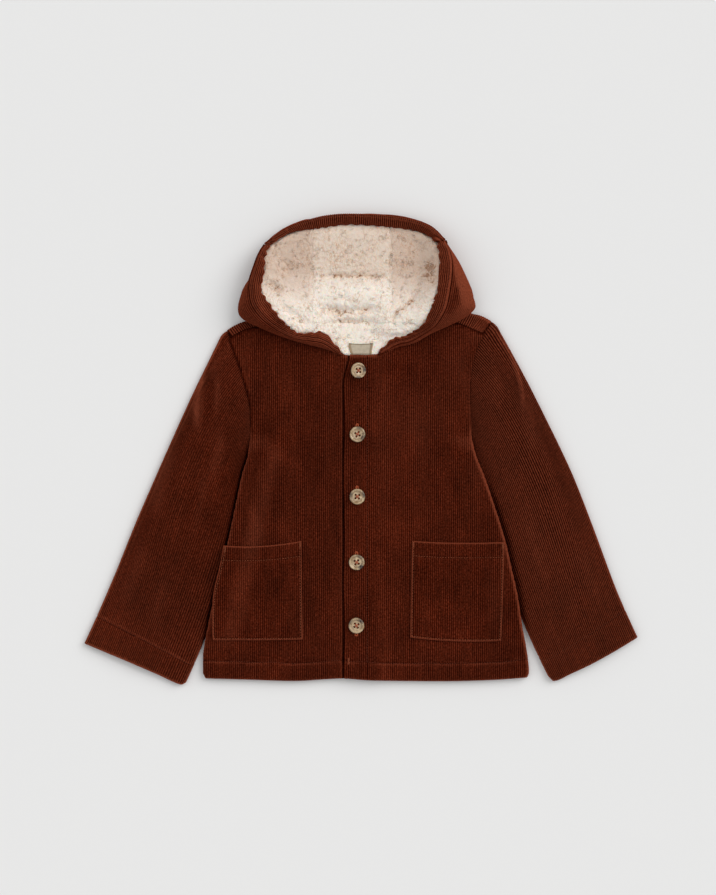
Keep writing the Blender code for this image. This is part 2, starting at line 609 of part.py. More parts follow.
def lining_grid(rows, shares, support):
    """Rows of (y, x at the start, x at the end), with what the fleece must stay above."""
    grid = []
    for y, start_x, end_x in rows:
        line = []
        for share in shares:
            x = mix(start_x, end_x, share)
            top = fleece_top(x, y)
            line.append((x, y, max(top - FLEECE_WALL, support), top))
        grid.append(line)
    return grid


FLOOR = HOOD_WALL + SEAM_GAP
SIDE_SHARES = (0.0, 0.12, 0.26, 0.42, 0.6, 0.8, 1.0)
CENTRE_SHARES = (0.0, 0.2, 0.4, 0.6, 0.8, 1.0)
NECK_SHARES = (0.0, 0.17, 0.36, 0.5, 0.64, 0.83, 1.0)
right_rows = [(row.y, row.right_x, LINING_SEAMS["right"] - SEAM_GAP / 2) for row in LINING[3:-1]]
left_rows = [(137.8, 70.0, 54.6)] + [(row.y + 0.3, row.left_x, LINING_SEAMS["left"] + SEAM_GAP / 2)
                                     for row in LINING[5:-1]]
left_rows = [(130.0, 61.0, 54.6)] + left_rows
centre_rows = [(row.y + 0.3, LINING_SEAMS["right"] + SEAM_GAP / 2, LINING_SEAMS["left"] - SEAM_GAP / 2)
               for row in LINING[5:-1]] + [(246.4, -28.0, 18.0)]
neck_rows = [(104.0, -20.0, 15.4), (110.8, -32.0, 31.0), (117.5, -42.6, 41.4), (124.0, -48.6, 46.4),
             (131.0, LINING_SEAMS["right"] + SEAM_GAP, 51.6), (137.4, LINING_SEAMS["right"] + SEAM_GAP, 54.0)]
layer("lining_right", lining_grid(right_rows, SIDE_SHARES, FLOOR), FLEECE)
layer("lining_left", lining_grid(left_rows, SIDE_SHARES, FLOOR), FLEECE)
layer("lining_centre", lining_grid(centre_rows, CENTRE_SHARES, FLOOR), FLEECE)
layer("lining_neck", lining_grid(neck_rows, NECK_SHARES, BODY_WALL + SEAM_GAP), FLEECE)


# Neck label -------------------------------------------------------------------------------------
# A bare woven tab sewn to the back-neck lining.
LABEL_HALF_WIDTH = 13.2
LABEL_FOOT_Y = 103.8
LABEL_HEIGHT = 11.0
LABEL_THICKNESS = 0.7
LABEL_UNDERSIDE = 10.0


def label_row(y):
    return [(x, y, LABEL_UNDERSIDE, LABEL_UNDERSIDE + LABEL_THICKNESS)
            for x in (-LABEL_HALF_WIDTH, 0.0, LABEL_HALF_WIDTH)]


layer("neck_label", [label_row(LABEL_FOOT_Y), label_row(LABEL_FOOT_Y + LABEL_HEIGHT)], LABEL)


# Buttons ----------------------------------------------------------------------------------------
# Four-hole horn buttons with a raised rim, turned in the lathe and drilled.
Turned = namedtuple("Turned", "radius height")
BUTTON_PROFILE = [
    Turned(0.0, 2.0), Turned(5.9, 2.2), Turned(6.7, 3.1), Turned(7.5, BUTTON_HEIGHT), Turned(8.3, 3.0),
    Turned(8.7, 1.9), Turned(8.4, 0.8), Turned(7.2, 0.0), Turned(0.0, 0.0),
]
BUTTON_SIDES = 32
BUTTON_GAP = 0.3


def button(name, x, y):
    mesh = bpy.data.meshes.new(name)
    points = [(step.radius * MM, 0.0, step.height * MM) for step in BUTTON_PROFILE]
    mesh.from_pydata(points, [(i, i + 1) for i in range(len(points) - 1)], [])
    mesh.materials.append(finish(name, HORN, 0.35))
    thing = bpy.data.objects.new(name, mesh)
    COAT.objects.link(thing)
    turn = thing.modifiers.new("turn", "SCREW")
    turn.steps = turn.render_steps = BUTTON_SIDES
    turn.use_merge_vertices = True
    turn.merge_threshold = 0.00001
    drill = thing.modifiers.new("drill", "BOOLEAN")
    drill.operation = "DIFFERENCE"
    drill.solver = "EXACT"
    drill.object = button_drill(name + "_drill")
    base = front_top(x, y) + BUTTON_GAP
    thing.location = drill.object.location = Vector((x, y, base)) * MM
    return thing


def button_drill(name):
    """Four pins in a square that cut a button's holes."""
    mesh = bmesh.new()
    for turn in range(4):
        angle = math.radians(45 + 90 * turn)
        pin = bmesh.ops.create_cone(mesh, cap_ends=True, segments=10, radius1=BUTTON_HOLE_RADIUS * MM,
                                    radius2=BUTTON_HOLE_RADIUS * MM, depth=3 * BUTTON_HEIGHT * MM)
        centre = Vector((math.cos(angle), math.sin(angle), 0.0)) * BUTTON_HOLE_SPACING / math.sqrt(2) * MM
        bmesh.ops.translate(mesh, verts=pin["verts"], vec=centre)
    data = bpy.data.meshes.new(name)
    mesh.to_mesh(data)
    mesh.free()
    cutter = bpy.data.objects.new(name, data)
    cutter.hide_render = True
    cutter.display_type = "WIRE"
    CUTTERS.objects.link(cutter)
    return cutter


for number, (x, y) in enumerate(BUTTON_CENTRES, start=1):
    button("button_%d" % number, x, y)
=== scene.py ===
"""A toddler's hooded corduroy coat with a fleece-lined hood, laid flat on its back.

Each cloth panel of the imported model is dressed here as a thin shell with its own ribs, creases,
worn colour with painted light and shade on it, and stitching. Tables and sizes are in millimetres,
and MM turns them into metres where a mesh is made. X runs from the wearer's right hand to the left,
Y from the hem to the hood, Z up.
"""
import math
from collections import namedtuple

import bmesh
import bpy
import numpy as np
from mathutils import Matrix, Vector


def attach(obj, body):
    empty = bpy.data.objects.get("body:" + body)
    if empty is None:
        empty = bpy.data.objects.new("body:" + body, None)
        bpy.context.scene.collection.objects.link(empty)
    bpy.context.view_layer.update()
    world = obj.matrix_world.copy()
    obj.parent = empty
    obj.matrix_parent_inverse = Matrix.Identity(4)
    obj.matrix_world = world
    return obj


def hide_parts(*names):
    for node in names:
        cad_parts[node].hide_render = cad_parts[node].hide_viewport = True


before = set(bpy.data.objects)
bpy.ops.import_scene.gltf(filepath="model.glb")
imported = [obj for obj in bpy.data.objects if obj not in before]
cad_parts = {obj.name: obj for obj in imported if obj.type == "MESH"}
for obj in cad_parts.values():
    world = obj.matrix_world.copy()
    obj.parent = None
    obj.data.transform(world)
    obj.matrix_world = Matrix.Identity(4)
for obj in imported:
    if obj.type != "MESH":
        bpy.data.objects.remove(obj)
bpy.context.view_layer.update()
MM = 0.001


# Table top, light and camera ----------------------------------------------------------------------
# The coat lies on a plain pale table top and is seen from straight above. A large soft light stands
# past the wearer's left shoulder, and a weaker one and the sky fill in the other side.
TABLE_TONE = (0.83, 0.83, 0.827, 1)
TABLE_SIZE = 6
TABLE_DROP = 0.3
VIEW_HEIGHT = 0.9845
VIEW_CENTRE = Vector((-0.0033, 0.0011, 0))
CAMERA_HEIGHT, CAMERA_REACH = 4, 20
SENSOR = 36
Lamp = namedtuple("Lamp", "name place spread power tone")


def listed(kind, *rows):
    """The rows of a table, one for each group of values."""
    return [kind(*row) for row in rows]


LAMPS = listed(Lamp, ("window_light", (1.7, 1.1, 1.7), 46, 1.5, (1, 0.993, 0.982)),
               ("fill_light", (-1.2, 0.3, 2), 80, 0.6, (1, 1, 1)))
SKY_TONE = (0.995, 0.998, 1, 1)
SKY_STRENGTH = 0.50


def placed(name, data):
    """A new object in the scene, from its light, lens or mesh."""
    made = bpy.data.objects.new(name, data)
    bpy.context.scene.collection.objects.link(made)
    return made


def finished(name, **finish):
    """A new material and its tree, with its shader's even values set."""
    material = bpy.data.materials.new(name)
    material.use_nodes = True
    shader = material.node_tree.nodes["Principled BSDF"]
    for place, value in finish.items():
        shader.inputs[place.replace("_", " ")].default_value = value
    return material, material.node_tree


def lay_table():
    bpy.ops.mesh.primitive_plane_add(size=TABLE_SIZE, location=(0, 0, 0))
    table = bpy.context.object
    table.name = "table_top"
    for vertex in table.data.vertices:
        vertex.co.z -= TABLE_DROP * MM
    matte, _ = finished("pale_table_top", Base_Color=TABLE_TONE, Roughness=0.85, Specular_IOR_Level=0.15)
    table.data.materials.append(matte)


def hang_lamps():
    for lamp in LAMPS:
        light = bpy.data.lights.new(lamp.name, "SUN")
        light.angle = math.radians(lamp.spread)
        light.energy = lamp.power
        light.color = lamp.tone
        stand = placed(lamp.name, light)
        stand.location = lamp.place
        stand.rotation_euler = (-Vector(lamp.place)).to_track_quat("-Z", "Y").to_euler()
    sky = bpy.data.worlds.new("studio_sky")
    sky.use_nodes = True
    glow = sky.node_tree.nodes["Background"]
    glow.inputs["Color"].default_value = SKY_TONE
    glow.inputs["Strength"].default_value = SKY_STRENGTH
    bpy.context.scene.world = sky


def set_camera():
    lens = bpy.data.cameras.new("camera")
    lens.sensor_fit = "VERTICAL"
    lens.sensor_height = SENSOR
    lens.lens = SENSOR * CAMERA_HEIGHT / VIEW_HEIGHT
    lens.clip_end = CAMERA_REACH
    camera = placed("camera", lens)
    camera.location = VIEW_CENTRE + Vector((0, 0, CAMERA_HEIGHT))
    bpy.context.scene.camera = camera


lay_table()
hang_lamps()
set_camera()
bpy.context.scene.view_settings.view_transform = "Standard"


# Back -------------------------------------------------------------------------------------------
# One panel of fleece-lined cotton corduroy from side seam to side seam. It lies face down on the
# table, and its top edge folds over each shoulder and lies on the front as far as the seam there.
BODY_WALL = 4
SEAM_GAP = 0.3
FOLD_RADIUS = BODY_WALL + SEAM_GAP / 2
SLEEVE_WALL = 3
SLEEVE_HEIGHT = 2 * SLEEVE_WALL + 2 * SEAM_GAP
UNDERARM_Y = 6
EDGE_LIFT = SLEEVE_HEIGHT + SEAM_GAP
LIFT_SHELF, LIFT_SLOPE = 13, 30
LIFT_TOP_Y, LIFT_TOP_RUN = UNDERARM_Y + 12, 24
LIFT_FOOT_Y, LIFT_FOOT_RUN = -226, 26
HEM_LINE, HEM_FIT, HEM_DEPTH = -254, 60, 19.5
RIGHT_END_X, LEFT_END_X = -173.4, 184.4
RIB_PITCH, RIB_HEIGHT = 2.3, 0.62
RIB_SHARES = (0, 0.2, 0.5, 0.8)
LEAST_GAP = 0.12
Side = namedtuple("Side", "y right_x left_x")
SIDES = listed(Side,
    (-253, -170.5, 181.5), (-246, -173.5, 184.5), (-222, -173, 182), (-196, -168, 177),
    (-160, -160.5, 171.5), (-129, -152.5, 164.5), (-100, -145.5, 158), (-60, -137, 145.5), (-27, -130, 134),
    (-10, -124.5, 127), (10, -122, 122), (35, -121.5, 120.5), (52, -123, 120), (70, -127.5, 120),
    (87, -132.5, 121.5), (101, -137.5, 124.5), (114, -142.5, 129.5), (122, -145.5, 133.5),
    (128, -149.5, 137.5), (138, -157, 147))
Edge = namedtuple("Edge", "x y")
HEM = listed(Edge,
    (-171, -252.5), (-125, -253.8), (-72, -255.3), (-36, -253.2), (-18, -252.6), (10, -254.6), (68, -255.5),
    (108, -255.4), (148, -254), (182, -251.6))
BACK_TOP = listed(Edge,
    (-149.5, 128), (-141, 134), (-130, 139), (-95, 149), (-58, 158), (-50, 146), (-28, 139.5), (0, 138),
    (28, 140), (49, 148), (57, 162), (90, 156), (123, 148), (134, 145), (146.5, 138))
RIGHT_SHOULDER_SEAM = listed(Edge, (-144.5, 121.5), (-129, 130), (-113, 134.5), (-85, 141.5), (-58, 148))
LEFT_SHOULDER_SEAM = listed(Edge, (57, 151), (82, 144.5), (109, 137), (127, 129.5), (135.5, 126))


def smooth(value):
    value = np.clip(value, 0, 1)
    return value * value * (3 - 2 * value)


def mix(start, end, share):
    return start + (end - start) * share


def close(distance, width):
    """One at a line and less and less away from it."""
    return np.exp(-(distance / width)**2)


def hermite(t):
    """Shares of the two ends and their slopes at a place along a smooth curve."""
    return 2 * t**3 - 3 * t**2 + 1, t**3 - 2 * t**2 + t, 3 * t**2 - 2 * t**3, t**3 - t**2


def curve(table, key, column):
    """A smooth curve through two columns of a table, level beyond its ends."""
    keys = np.array([getattr(row, key) for row in table], float)
    values = np.array([getattr(row, column) for row in table], float)
    here, last = np.arange(len(keys)), len(keys) - 1
    before, after = np.maximum(here - 1, 0), np.minimum(here + 1, last)
    slopes = (values[after] - values[before]) / (keys[after] - keys[before])

    def reading(at):
        at = np.clip(at, keys[0], keys[-1])
        i = np.clip(np.searchsorted(keys, at) - 1, 0, last - 1)
        span = keys[i + 1] - keys[i]
        a, b, c, d = hermite((at - keys[i]) / span)
        return a * values[i] + b * slopes[i] * span + c * values[i + 1] + d * slopes[i + 1] * span
    return reading


SIDE_X = {side: curve(SIDES, "y", side + "_x") for side in ("right", "left")}
hem_y = curve(HEM, "x", "y")
back_top_y = curve(BACK_TOP, "x", "y")


def edge_depth(x, y):
    """Distance in from the nearer side edge."""
    return np.minimum(x - SIDE_X["right"](y), SIDE_X["left"](y) - x)


def round_edge(depth, radius):
    """Share of the full height at a depth in from a rounded edge."""
    inside = 1 - np.clip(depth / radius, 0, 1)
    return np.sqrt(1 - inside**2)


def lift(x, y):
    """How far the body rises near its side edges, to lie over the sleeves."""
    along = smooth((LIFT_TOP_Y - y) / LIFT_TOP_RUN) * smooth((y - LIFT_FOOT_Y) / LIFT_FOOT_RUN)
    return EDGE_LIFT * along * smooth((LIFT_SHELF + LIFT_SLOPE - edge_depth(x, y)) / LIFT_SLOPE)


def at_armhole(y):
    """One above the underarm, where the side edge is a sewn seam, and nought where it is a fold."""
    return smooth((y - UNDERARM_Y) / 24)


def hem_fitted(x, v):
    """Rows that follow the hem's own line near it and run level higher up."""
    return v + (hem_y(x) - HEM_LINE) * smooth((HEM_LINE + HEM_FIT - v) / HEM_FIT)


def rib_profile(rib):
    """Height of the cord across a rib, from nought in the groove to one on top."""
    return np.sqrt(np.abs(np.sin(np.pi * rib)))


def uneven(a, b):
    """Slow uneven change between -1 and 1, for anything that real cloth never does evenly."""
    return (np.sin(a / 17 + 1.9 * np.sin(b / 41)) + np.sin(b / 23 + 1.3 * np.sin(a / 31 + 2))
            + np.sin((a + b) / 11 + 0.7)) / 3


def scatter(a, b, salt):
    """A fixed number between 0 and 1 for each cell of a grid."""
    value = np.sin(a * 127.1 + b * 311.7 + salt * 74.7) * 43758.5453
    return value - np.floor(value)


def drift(x, y, size, salt):
    """Smooth random change between -1 and 1 over patches of one size."""
    a, b = np.floor(x / size), np.floor(y / size)
    s, t = smooth(x / size - a), smooth(y / size - b)
    low = mix(scatter(a, b, salt), scatter(a + 1, b, salt), s)
    high = mix(scatter(a, b + 1, salt), scatter(a + 1, b + 1, salt), s)
    return 2 * mix(low, high, t) - 1


Crease = namedtuple("Crease", "x y to_x to_y bow width height")


def creased(creases, x, y):
    """Height of soft folds, each a bowed line with its own width, ridge above nought, trough below."""
    height = np.zeros_like(x)
    for fold in creases:
        along = np.array((fold.to_x - fold.x, fold.to_y - fold.y))
        length = np.hypot(*along)
        along = along / length
        t = ((x - fold.x) * along[0] + (y - fold.y) * along[1]) / length
        off = (x - fold.x) * -along[1] + (y - fold.y) * along[0] - fold.bow * 4 * t * (1 - t)
        height += fold.height * close(off, fold.width) * smooth(t / 0.35) * smooth((1 - t) / 0.35)
    return height


def rib_columns(start, end):
    """Places across the ribs from one edge to the other, with a column in each groove."""
    first = math.floor(start / RIB_PITCH) * RIB_PITCH
    count = int((end - first) / RIB_PITCH) + 1
    places = [first + (n + share) * RIB_PITCH for n in range(count) for share in RIB_SHARES]
    return [start, *[u for u in places if start + LEAST_GAP < u < end - LEAST_GAP], end]


def spans_inside(u, low, high, inside, step=0.5):
    """The stretches of a column that lie inside its panel."""
    v = np.arange(low, high + step, step)
    depth = inside(np.full_like(v, u), v)
    spans, start = [], None
    for n, value in enumerate(depth):
        if value >= 0 and start is None:
            start = v[0] if n == 0 else v[n - 1] + step * -depth[n - 1] / (value - depth[n - 1])
        if start is not None and (value < 0 or n == len(v) - 1):
            end = v[n] if value >= 0 else v[n - 1] + step * depth[n - 1] / (depth[n - 1] - value)
            if end - start > 1:
                spans.append((float(start), float(end)))
            start = None
    return spans


def cut_columns(start, end, low, high, inside):
    """The columns between two edges, each with its stretches inside the panel."""
    columns = [(u, spans_inside(u, low, high, inside)) for u in rib_columns(start, end)]
    return [column for column in columns if column[1]]


def zip_spans(left, right):
    """Faces between two neighbouring stretches, each a list of (place along, vertex)."""
    faces = []
    i = j = 0
    while i < len(left) - 1 or j < len(right) - 1:
        next_left = left[i + 1][0] if i < len(left) - 1 else math.inf
        next_right = right[j + 1][0] if j < len(right) - 1 else math.inf
        both = left[i][0] == right[j][0] and next_left == next_right
        step_i, step_j = both or next_left <= next_right, both or next_left > next_right
        corners = [left[i], *right[j:j + 1 + step_j], *left[i + 1:i + 1 + step_i]]
        faces.append(tuple(number for _, number in corners))
        i, j = i + step_i, j + step_j
    return faces


def cut_to_meet(stretch, others, other):
    """The part of a stretch that meets one of the neighbours it touches."""
    n = others.index(other)
    low = stretch[0][0] if n == 0 else other[0][0]
    high = stretch[-1][0] if n == len(others) - 1 else other[-1][0]
    return [point for point in stretch if low <= point[0] <= high]


def join_columns(left, right):
    faces = []
    for a in left:
        for b in right:
            if b[0][0] >= a[-1][0] or b[-1][0] <= a[0][0]:
                continue
            meets_a = [other for other in right if other[0][0] < a[-1][0] and other[-1][0] > a[0][0]]
            meets_b = [other for other in left if other[0][0] < b[-1][0] and other[-1][0] > b[0][0]]
            part_a, part_b = cut_to_meet(a, meets_a, b), cut_to_meet(b, meets_b, a)
            if part_a and part_b:
                faces += zip_spans(part_a, part_b)
    return faces


def plain_points(columns, rows):
    """Vertices of one side of a panel: (u, v) for each, and the same stretches with their numbers."""
    places, numbered = [], []
    for u, spans in columns:
        column = []
        for start, end in spans:
            stretch = []
            for v in [start, *[row for row in rows if start + 0.15 < row < end - 0.15], end]:
                stretch.append((v, len(places)))
                places.append((u, v))
            column.append(stretch)
        numbered.append(column)
    return places, numbered


def thin_rows(columns, rows, every):
    """The lining side's own points: few rows, but all of them wherever the panel's edge runs along one."""
    places, numbered = [], []
    for n, (u, spans) in enumerate(columns):
        beside = columns[max(n - 1, 0):n + 2]
        edge = n in (0, len(columns) - 1) or len({len(other[1]) for other in beside}) > 1
        kept = rows if edge else rows[::every]
        more, lines = plain_points([(u, spans)], kept)
        numbered.append([[(v, number + len(places)) for v, number in stretch] for stretch in lines[0]])
        places += more
    return places, numbered


def unit(directions):
    """Directions brought to a length of one."""
    return directions / np.maximum(np.linalg.norm(directions, axis=1, keepdims=True), 1e-9)


def face_directions(place, u, v, turned, step_u=0.25, step_v=0.25):
    """Unit directions out of the cloth's right side."""
    across = place(u + step_u, v) - place(u - step_u, v)
    out = unit(np.cross(across, place(u, v + step_v) - place(u, v - step_v)))
    return -out if turned else out


def rib_sway(u, v):
    """How far each rib wanders sideways, some of it with its neighbours and some on its own."""
    rib = np.floor(u / RIB_PITCH + 0.001)
    return 0.34 * uneven(u * 1.2, v * 0.9) + 0.16 * drift(rib * 7.3, v, 19, 5)


def rib_relief(u, v):
    """Height of the pile at a place on the right side: its rib, a little uneven in height."""
    rib = np.floor(u / RIB_PITCH + 0.001)
    tall = 0.86 + 0.08 * uneven(u * 9, v * 3) + 0.10 * drift(rib * 5.1, v, 13, 9)
    return RIB_HEIGHT * rib_profile(u / RIB_PITCH) * tall


NAP_LIGHT = np.array((0.84, 0.54, 0))


def nap_painted_light(u, directions, beside, bold=1):
    """Painted light and shade: paler where the cloth or a rib's flank faces the window, darker facing away,
    paler where steep.
    """
    toward = directions @ NAP_LIGHT
    steep = np.hypot(directions[:, 0], directions[:, 1])
    share = u / RIB_PITCH - np.floor(u / RIB_PITCH + 0.001)
    flank = np.sin(2 * math.pi * np.clip(share, 0, 1))
    return (np.where(toward > 0, 0.75 * toward, 0.45 * toward) + 0.62 * steep * smooth(steep / 0.5)
            - 0.30 * bold * flank * (beside @ NAP_LIGHT))


# Broad patches where the pile is coloured paler or darker; the dark one on the left sleeve beside the body is
# painted shade.
ToneAndShadePatch = namedtuple("ToneAndShadePatch", "x y across along pale")
TONE_AND_SHADE_PATCHES = listed(ToneAndShadePatch,
    (-104, -30, 12, 50, -0.15), (-92, 138, 18, 9, -0.30), (-132, 76, 14, 40, 0.12), (20, -140, 10, 95, -0.12),
    (38, 88, 22, 10, -0.12), (62, 28, 30, 34, 0.13), (106, 92, 16, 42, 0.13), (127, 126, 10, 10, 0.25),
    (127, -32, 10, 28, 0.15), (146, -170, 9, 50, 0.14), (186, -125, 20, 75, -0.32), (-100, 6, 22, 9, -0.2),
    (107, 4, 14, 9, -0.18), (-88, 136, 16, 8, -0.3))


def patched_tone_and_shade(x, y):
    """How much paler or darker the pile is coloured in broad patches; the dark one on the left sleeve beside
    the body is painted shade.
    """
    return sum(patch.pale * close(np.hypot((x - patch.x) / patch.across, (y - patch.y) / patch.along), 1)
               for patch in TONE_AND_SHADE_PATCHES)


def mesh_piece(name, points, faces, material=None, shown=True, **marks):
    """A mesh object from places in millimetres, with each mark as a number at every place."""
    mesh = bpy.data.meshes.new(name)
    mesh.from_pydata((np.asarray(points) * MM).tolist(), [], faces)
    for mark, values in marks.items():
        mesh.attributes.new(mark, "FLOAT", "POINT").data.foreach_set("value", np.asarray(values, np.float32))
    mesh.shade_smooth()
    if material:
        mesh.materials.append(material)
    return placed(name, mesh) if shown else bpy.data.objects.new(name, mesh)


def finish_cloth(name, points, faces, cords, wear):
    """The mesh object of a panel, with its rib count and length along the ribs as its UV map.

    The attribute it carries is above nought on rubbed pile and on painted light, and below it on crushed pile
    and in painted shade.
    """
    piece = mesh_piece(name, points, faces, rust_corduroy, wear=np.clip(wear, -1, 1))
    uv = piece.data.uv_layers.new(name="ribs")
    corners = np.empty(len(piece.data.loops), dtype=np.int32)
    piece.data.loops.foreach_get("vertex_index", corners)
    uv.data.foreach_set("uv", cords[corners].astype(np.float32).ravel())
    piece.data.validate()
    return piece


def dress(piece, solid=None):
    """Puts a finished piece on the coat, in place of its plain solid where it has one."""
    if solid:
        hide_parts(solid)
    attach(piece, "root")
    return piece


def ribbed_panel(name, columns, rows, outer, inner, fade, wear, turned=False, every=6, nap_light=1, bold=None):
    """A closed thin shell with ribs on its right side and a plain lining side.

    Columns are (u, stretches) across the ribs, and the four readings after the rows take arrays of u and v:
    the two sides' places, how much of the rib's height shows, and how rubbed or crushed its pile is, with
    the light and shade painted on it. Every sets how few rows the lining side has, and the last two how
    strongly light and shade are painted on the pile as it turns to or from the window, and on each rib's
    flanks.
    """
    out_places, out_numbers = plain_points(columns, rows)
    in_places, in_numbers = thin_rows(columns, rows, every)
    u, v = np.array(out_places).T
    in_u, in_v = np.array(in_places).T
    directions = face_directions(outer, u, v, turned)
    beside = unit(outer(u + 0.25, v) - outer(u - 0.25, v))
    relief = rib_relief(u, v) * fade(u, v) - RIB_HEIGHT / 2
    points = outer(u, v) + directions * relief[:, None] + beside * rib_sway(u, v)[:, None]
    # Painted light and shade on the pile: paler toward the window, darker away from it, and in broad patches.
    glow = nap_light * nap_painted_light(u, directions, beside, bold(u, v) if bold else 1)
    glow = glow + patched_tone_and_shade(points[:, 0], points[:, 1]) * (directions[:, 2] > 0)
    shades = np.concatenate((wear(u, v) + glow, np.zeros_like(in_u)))
    points = np.vstack((points, inner(in_u, in_v)))
    faces = [face for pair in zip(out_numbers, out_numbers[1:]) for face in join_columns(*pair)]
    back_faces = [face for pair in zip(in_numbers, in_numbers[1:]) for face in join_columns(*pair)]
    first = len(out_places)
    lining_of = {(n, at): number + first for n, column in enumerate(in_numbers) for stretch in column
                 for at, number in stretch}
    under = [lining_of.get((n, at)) for n, column in enumerate(out_numbers) for stretch in column
             for at, _ in stretch]
    edges = {edge for face in faces for edge in zip(face, face[1:] + face[:1])}
    walls = [(b, a, under[a], under[b]) for a, b in sorted(edges) if (b, a) not in edges]
    faces += [tuple(number + first for number in reversed(face)) for face in back_faces] + walls
    if turned:
        faces = [tuple(reversed(face)) for face in faces]
    cords = np.column_stack((np.concatenate((u, in_u)), np.concatenate((v, in_v)))) / RIB_PITCH
    return finish_cloth(name, points, faces, cords, shades)


# Rib colours: the grooves' is painted shade, the tops' painted light, and the rubbed one serves for rubbed
# pile and painted light alike.
CORD_GROOVE_SHADE, CORD_BODY = (0.017, 0.0012, 0.0001), (0.054, 0.0066, 0.0019)
CORD_LIT_TOP, CORD_RUBBED_AND_LIT = (0.118, 0.0225, 0.0100), (0.32, 0.075, 0.036)


def node(tree, kind, *inputs, **settings):
    """One node, with its settings, and its inputs as even values or as other nodes' outputs."""
    made = tree.nodes.new(kind)
    given = dict(enumerate(inputs))
    for name, value in settings.items():
        if hasattr(made, name):
            setattr(made, name, value)
        else:
            given[name.replace("_", " ")] = value
    for place, value in given.items():
        if isinstance(value, bpy.types.NodeSocket):
            tree.links.new(value, made.inputs[place])
        elif value is not None:
            made.inputs[place].default_value = value
    return made


def worked(tree, operation, *values):
    """A sum or product of values, each of them a number or another node's output."""
    return node(tree, "ShaderNodeMath", *values, operation=operation).outputs[0]


def reached(tree, value, low, high, to_low=0, to_high=1):
    """A value carried from one range to another."""
    return node(tree, "ShaderNodeMapRange", value, low, high, to_low, to_high).outputs[0]


def product(tree, first, *others):
    """The product of several values."""
    for other in others:
        first = worked(tree, "MULTIPLY", first, other)
    return first


def read(tree, mark):
    """A mark that the mesh carries at each place."""
    return node(tree, "ShaderNodeAttribute", attribute_name=mark).outputs["Fac"]


def place_in_space(tree):
    return node(tree, "ShaderNodeTexCoord").outputs["Object"]


def mottle(tree, scale, detail, at=None, **more):
    """Noise through the piece, or at places of its own, from nought to one."""
    return node(tree, "ShaderNodeTexNoise", Vector=at or place_in_space(tree), Scale=scale, Detail=detail,
                **more).outputs["Fac"]


def spread(tree, noise, low, high):
    """A noise drawn out from its usual middle range, to run from one value to another."""
    return reached(tree, noise, 0.3, 0.7, low, high)


def toned(tree, value, *stops):
    """A colour read off a scale, whose stops are (place, colour)."""
    scale = node(tree, "ShaderNodeValToRGB", value)
    for place, _ in stops[1:-1]:
        scale.color_ramp.elements.new(place)
    for element, (place, colour) in zip(scale.color_ramp.elements, stops):
        element.position = place
        element.color = (*colour, 1)
    return scale.outputs["Color"]


def tinted(tree, share, under, over, way="MIX"):
    """One colour laid over another in a share of its own."""
    colours = [(*colour, 1) if isinstance(colour, tuple) else colour for colour in (under, over)]
    mixed = node(tree, "ShaderNodeMix", share, *[None] * 5, *colours, data_type="RGBA", blend_type=way)
    return mixed.outputs[2]


def shaded(tree, colour, strength):
    """A colour made darker or paler."""
    return node(tree, "ShaderNodeVectorMath", colour, Scale=strength, operation="SCALE").outputs[0]


def surface(tree, colour, height=None, strength=0.5, depth=0.0002):
    """Gives a material's shader its colour, and the fine relief of a height."""
    shader = tree.nodes["Principled BSDF"]
    tree.links.new(colour, shader.inputs["Base Color"])
    if height:
        bump = node(tree, "ShaderNodeBump", Strength=strength, Distance=depth, Height=height)
        tree.links.new(bump.outputs["Normal"], shader.inputs["Normal"])


def cord_noise(tree, across, along, detail, scale_x, scale_y):
    """Noise read at a place across and along the ribs."""
    at = node(tree, "ShaderNodeCombineXYZ", product(tree, across, scale_x), product(tree, along, scale_y))
    return mottle(tree, 1, detail, at.outputs[0], Roughness=0.65)


def corduroy():
    """Rust cotton corduroy: painted shade in the grooves, painted light on the rib tops, broken patchy nap, a
    warm sheen, and each piece's rubbed pile and painted light and shade.
    """
    cloth, tree = finished("rust_corduroy", Roughness=0.92, Specular_IOR_Level=0, Sheen_Weight=0.32,
                           Sheen_Roughness=0.3, Sheen_Tint=(0.95, 0.15, 0.05, 1))
    ribs = node(tree, "ShaderNodeUVMap", uv_map="ribs").outputs["UV"]
    across, along, _ = node(tree, "ShaderNodeSeparateXYZ", ribs).outputs
    height = worked(tree, "ABSOLUTE", worked(tree, "SINE", product(tree, across, math.pi)))
    fibre = cord_noise(tree, across, along, 3, 1.7, 1.05)
    streak = cord_noise(tree, worked(tree, "FLOOR", across), along, 1, 5.3, 0.07)
    turned = node(tree, "ShaderNodeMapping", place_in_space(tree), Rotation=(0, 0, 0.5), Scale=(26, 9, 20))
    sweep = mottle(tree, 1, 2, turned.outputs[0])
    # Painted shade down in the grooves and painted light on the rib tops, broken by the fibres.
    rib_shading = worked(tree, "MULTIPLY_ADD", fibre, 1.65, worked(tree, "MULTIPLY_ADD", height, 0.62, -0.70))
    tone = toned(tree, rib_shading, (0.1, CORD_GROOVE_SHADE), (0.55, CORD_BODY), (1, CORD_LIT_TOP))
    wear = read(tree, "wear")
    # Patchy nap, and painted shade where the piece's mark is below nought.
    patchy_and_shaded = product(tree, spread(tree, mottle(tree, 30, 5, Roughness=0.62), 0.72, 1.24),
                     spread(tree, sweep, 0.84, 1.14), spread(tree, mottle(tree, 460, 2), 0.70, 1.28),
                     spread(tree, streak, 0.82, 1.2), reached(tree, wear, -1, 0, 0.12, 1))
    # Rubbed pile and painted light where the piece's mark is above nought.
    rubbed_and_lit = product(tree, reached(tree, wear, 0, 1), fibre)
    surface(tree, tinted(tree, rubbed_and_lit, shaded(tree, tone, patchy_and_shaded), CORD_RUBBED_AND_LIT), fibre, 0.6, 0.0008)
    return cloth


